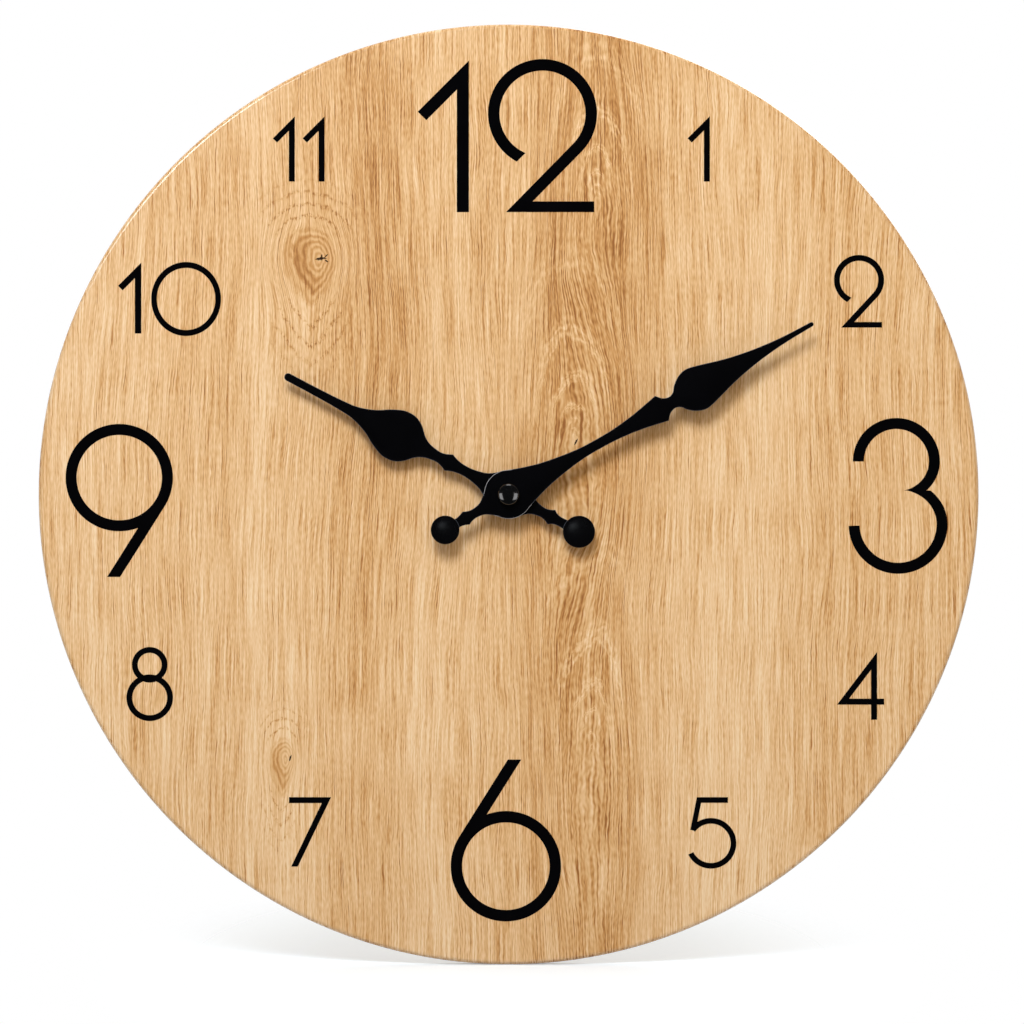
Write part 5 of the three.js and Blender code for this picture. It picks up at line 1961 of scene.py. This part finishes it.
CAP: tuple[str, ...] = ("cap_nut_polished",)
COOL = (0.825, 0.905, 1.0)
WARM = (1.0, 0.84, 0.6)
SKY = (0.9, 0.96, 1.0)
WHITE = (1.0, 1.0, 1.0, 1.0)


@dataclass
class Studio:
    """The camera, the lamps, the white surroundings and the floor."""

    camera_distance: float = 1.2
    view_width: float = 0.3264
    camera_side: float = 0.00108
    camera_height: float = -0.0056
    ambient: float = 0.36
    ambient_colour: Colour = (1.0, 0.83, 0.59, 1.0)
    mirrored_room: float = 0.05
    floor_radius: float = 1.4
    floor_fade: tuple[float, float] = (0.45, 1.2)
    floor_shown: Colour = (0.82, 0.9, 0.98, 1.0)
    floor_bounce: Colour = (0.4, 0.4, 0.4, 1.0)
    floor_glow: float = 0.23
    shadow_shape: tuple[float, float, float] = (1.0, 0.45, 0.0)
    shadow_fade: tuple[float, float] = (0.045, 0.135)
    lamps: tuple[Lamp, ...] = (
        Lamp("key lamp", (-0.17, -1.05, 0.7), (0, 0, 0), 0.42, 13.7, COOL, mirrored=False),
        Lamp("fill lamp", (0.3, -1.45, 0.5), (0, 0, 0), 0.8, 3.0, WARM, mirrored=False),
        Lamp("left card", (-0.76, -0.62, -0.22), (0, 0, 0), 0.66, 6.4, spread=False, pieces=CAP),
        Lamp("right card", (0.69, -0.7, -0.22), (0, 0, 0), 0.66, 6.4, spread=False, pieces=CAP),
        Lamp("top card", (0.0, -0.25, 0.87), (0, -0.03, 0), 0.4, 2.0, spread=False, pieces=CAP),
        Lamp("rim card", (-0.71, -1.21, 0.73), (-0.1, 0, 0.1), 0.56, 15.0, SKY, spread=False,
             pieces=("clock_board",)),
        Lamp("dome card", (-0.15, -1.13, 0.17), (0, 0, -0.01), 0.16, 0.3, (0.86, 0.94, 1.0), spread=False,
             pieces=("hour_hand_painted", "minute_hand_painted")),
        Lamp("rear lamp", (0.5, 1.2, 0.7), (0, 0, 0), 0.9, 7.0),
        Lamp("overhead lamp", (0.04, 0.3, 1.3), (0.04, 0.0, -0.15), 0.8, 6.0, mirrored=False),
    )

    def build(self) -> None:
        """Sets up everything round the clock."""
        self.place_camera()
        for lamp in self.lamps:
            lamp.build()
        self.light_world()
        self.lay_floor()
        bpy.context.scene.view_settings.view_transform = "Standard"

    def limit_lamps(self) -> None:
        """Keeps the small cards to their own pieces, once these are made."""
        for lamp in self.lamps:
            lamp.limit()

    def place_camera(self) -> None:
        """Places the camera straight in front of the dial."""
        data = bpy.data.cameras.new("camera")
        face = front_of("dial_board") * MM
        data.sensor_width = 36.0
        data.lens = data.sensor_width * self.camera_distance / self.view_width
        camera = linked("camera", data)
        camera.location = (self.camera_side, -face - self.camera_distance, self.camera_height)
        camera.rotation_euler = (math.pi / 2, 0, 0)
        bpy.context.scene.camera = camera

    def light_world(self) -> None:
        """Makes the surroundings white to the eye, and a soft even light on the clock.

        Mirror rays that leave to the front see the darker room that the camera stands in.
        """
        world = bpy.data.worlds.new("surroundings")
        bpy.context.scene.world = world
        graph = bare_graph(world)
        path = graph.add("LightPath").outputs
        _, towards_rear, _ = graph.split(graph.add("TexCoord").outputs["Generated"])
        behind = graph.remap(towards_rear, -0.25, 0.35)
        mirrored = graph.times(path["Is Glossy Ray"], behind)
        seen = graph.largest(path["Is Camera Ray"], path["Is Transmission Ray"])
        white = graph.largest(seen, mirrored)
        dim = graph.scaled(path["Is Glossy Ray"], self.mirrored_room - self.ambient, self.ambient)
        strength = graph.largest(white, dim)
        tint = graph.mix(path["Is Diffuse Ray"], WHITE, self.ambient_colour)
        light = graph.add("Background", {"Color": tint, "Strength": strength})
        graph.add("OutputWorld", {"Surface": light.outputs[0]})

    def lay_floor(self) -> None:
        """Lays a round white floor that fades into the white surroundings."""
        shape = bmesh.new()
        bmesh.ops.create_circle(shape, cap_ends=True, segments=96, radius=self.floor_radius)
        bmesh.ops.translate(shape, verts=shape.verts, vec=(0, 0, CAD_BOX[0][2]))
        floor = meshed("floor", shape)
        floor.data.materials.append(self.floor_material())
        floor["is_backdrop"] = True

    def floor_material(self) -> bpy.types.Material:
        """Makes the floor's white surface, which shows the shadow and no edge.

        Returns:
            The floor's material.
        """
        material = bpy.data.materials.new("white floor")
        graph = bare_graph(material)
        path = graph.add("LightPath").outputs
        shown = graph.largest(path["Is Camera Ray"], path["Is Transmission Ray"])
        shown = graph.largest(shown, path["Is Glossy Ray"])
        place = graph.add("TexCoord").outputs["Object"]
        far = graph.length(place)
        drawn_in = graph.add("VectorMath", {0: place, 1: self.shadow_shape}, operation="MULTIPLY").outputs[0]
        near_fade = graph.times(graph.remap(graph.length(drawn_in), *self.shadow_fade), path["Is Camera Ray"])
        _, towards_rear, _ = graph.split(place)
        in_front = graph.times(graph.remap(towards_rear, 0.0, -0.06), path["Is Glossy Ray"])
        fade = graph.largest(graph.remap(far, *self.floor_fade), graph.largest(near_fade, in_front))
        white = graph.mix(path["Is Diffuse Ray"], self.floor_shown, self.floor_bounce)
        lit = graph.add("BsdfDiffuse", {"Color": white})
        glow = graph.add("Emission", {"Color": WHITE, "Strength": graph.times(shown, self.floor_glow)})
        both = graph.add("AddShader", {0: lit.outputs[0], 1: glow.outputs[0]})
        clear = graph.add("BsdfTransparent")
        mixed = graph.add("MixShader", {0: fade, 1: both.outputs[0], 2: clear.outputs[0]})
        graph.add("OutputMaterial", {"Surface": mixed.outputs[0]})
        return material


def main() -> None:
    """Builds the clock's looks in the order of its sub-assemblies."""
    logging.basicConfig(level=logging.INFO, format="%(name)s: %(message)s")
    studio = Studio()
    studio.build()
    DialBoard().build()
    Numerals().build()
    HOUR_HAND.build()
    MINUTE_HAND.build()
    CapNut().build()
    Movement().build()
    BatteryCell().build()
    studio.limit_lamps()
    boxes = {"cad": CAD_BOX, "visual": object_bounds()}
    boxes = {name: [list(corner) for corner in box] for name, box in boxes.items()}


if __name__ == "__main__":
    main()
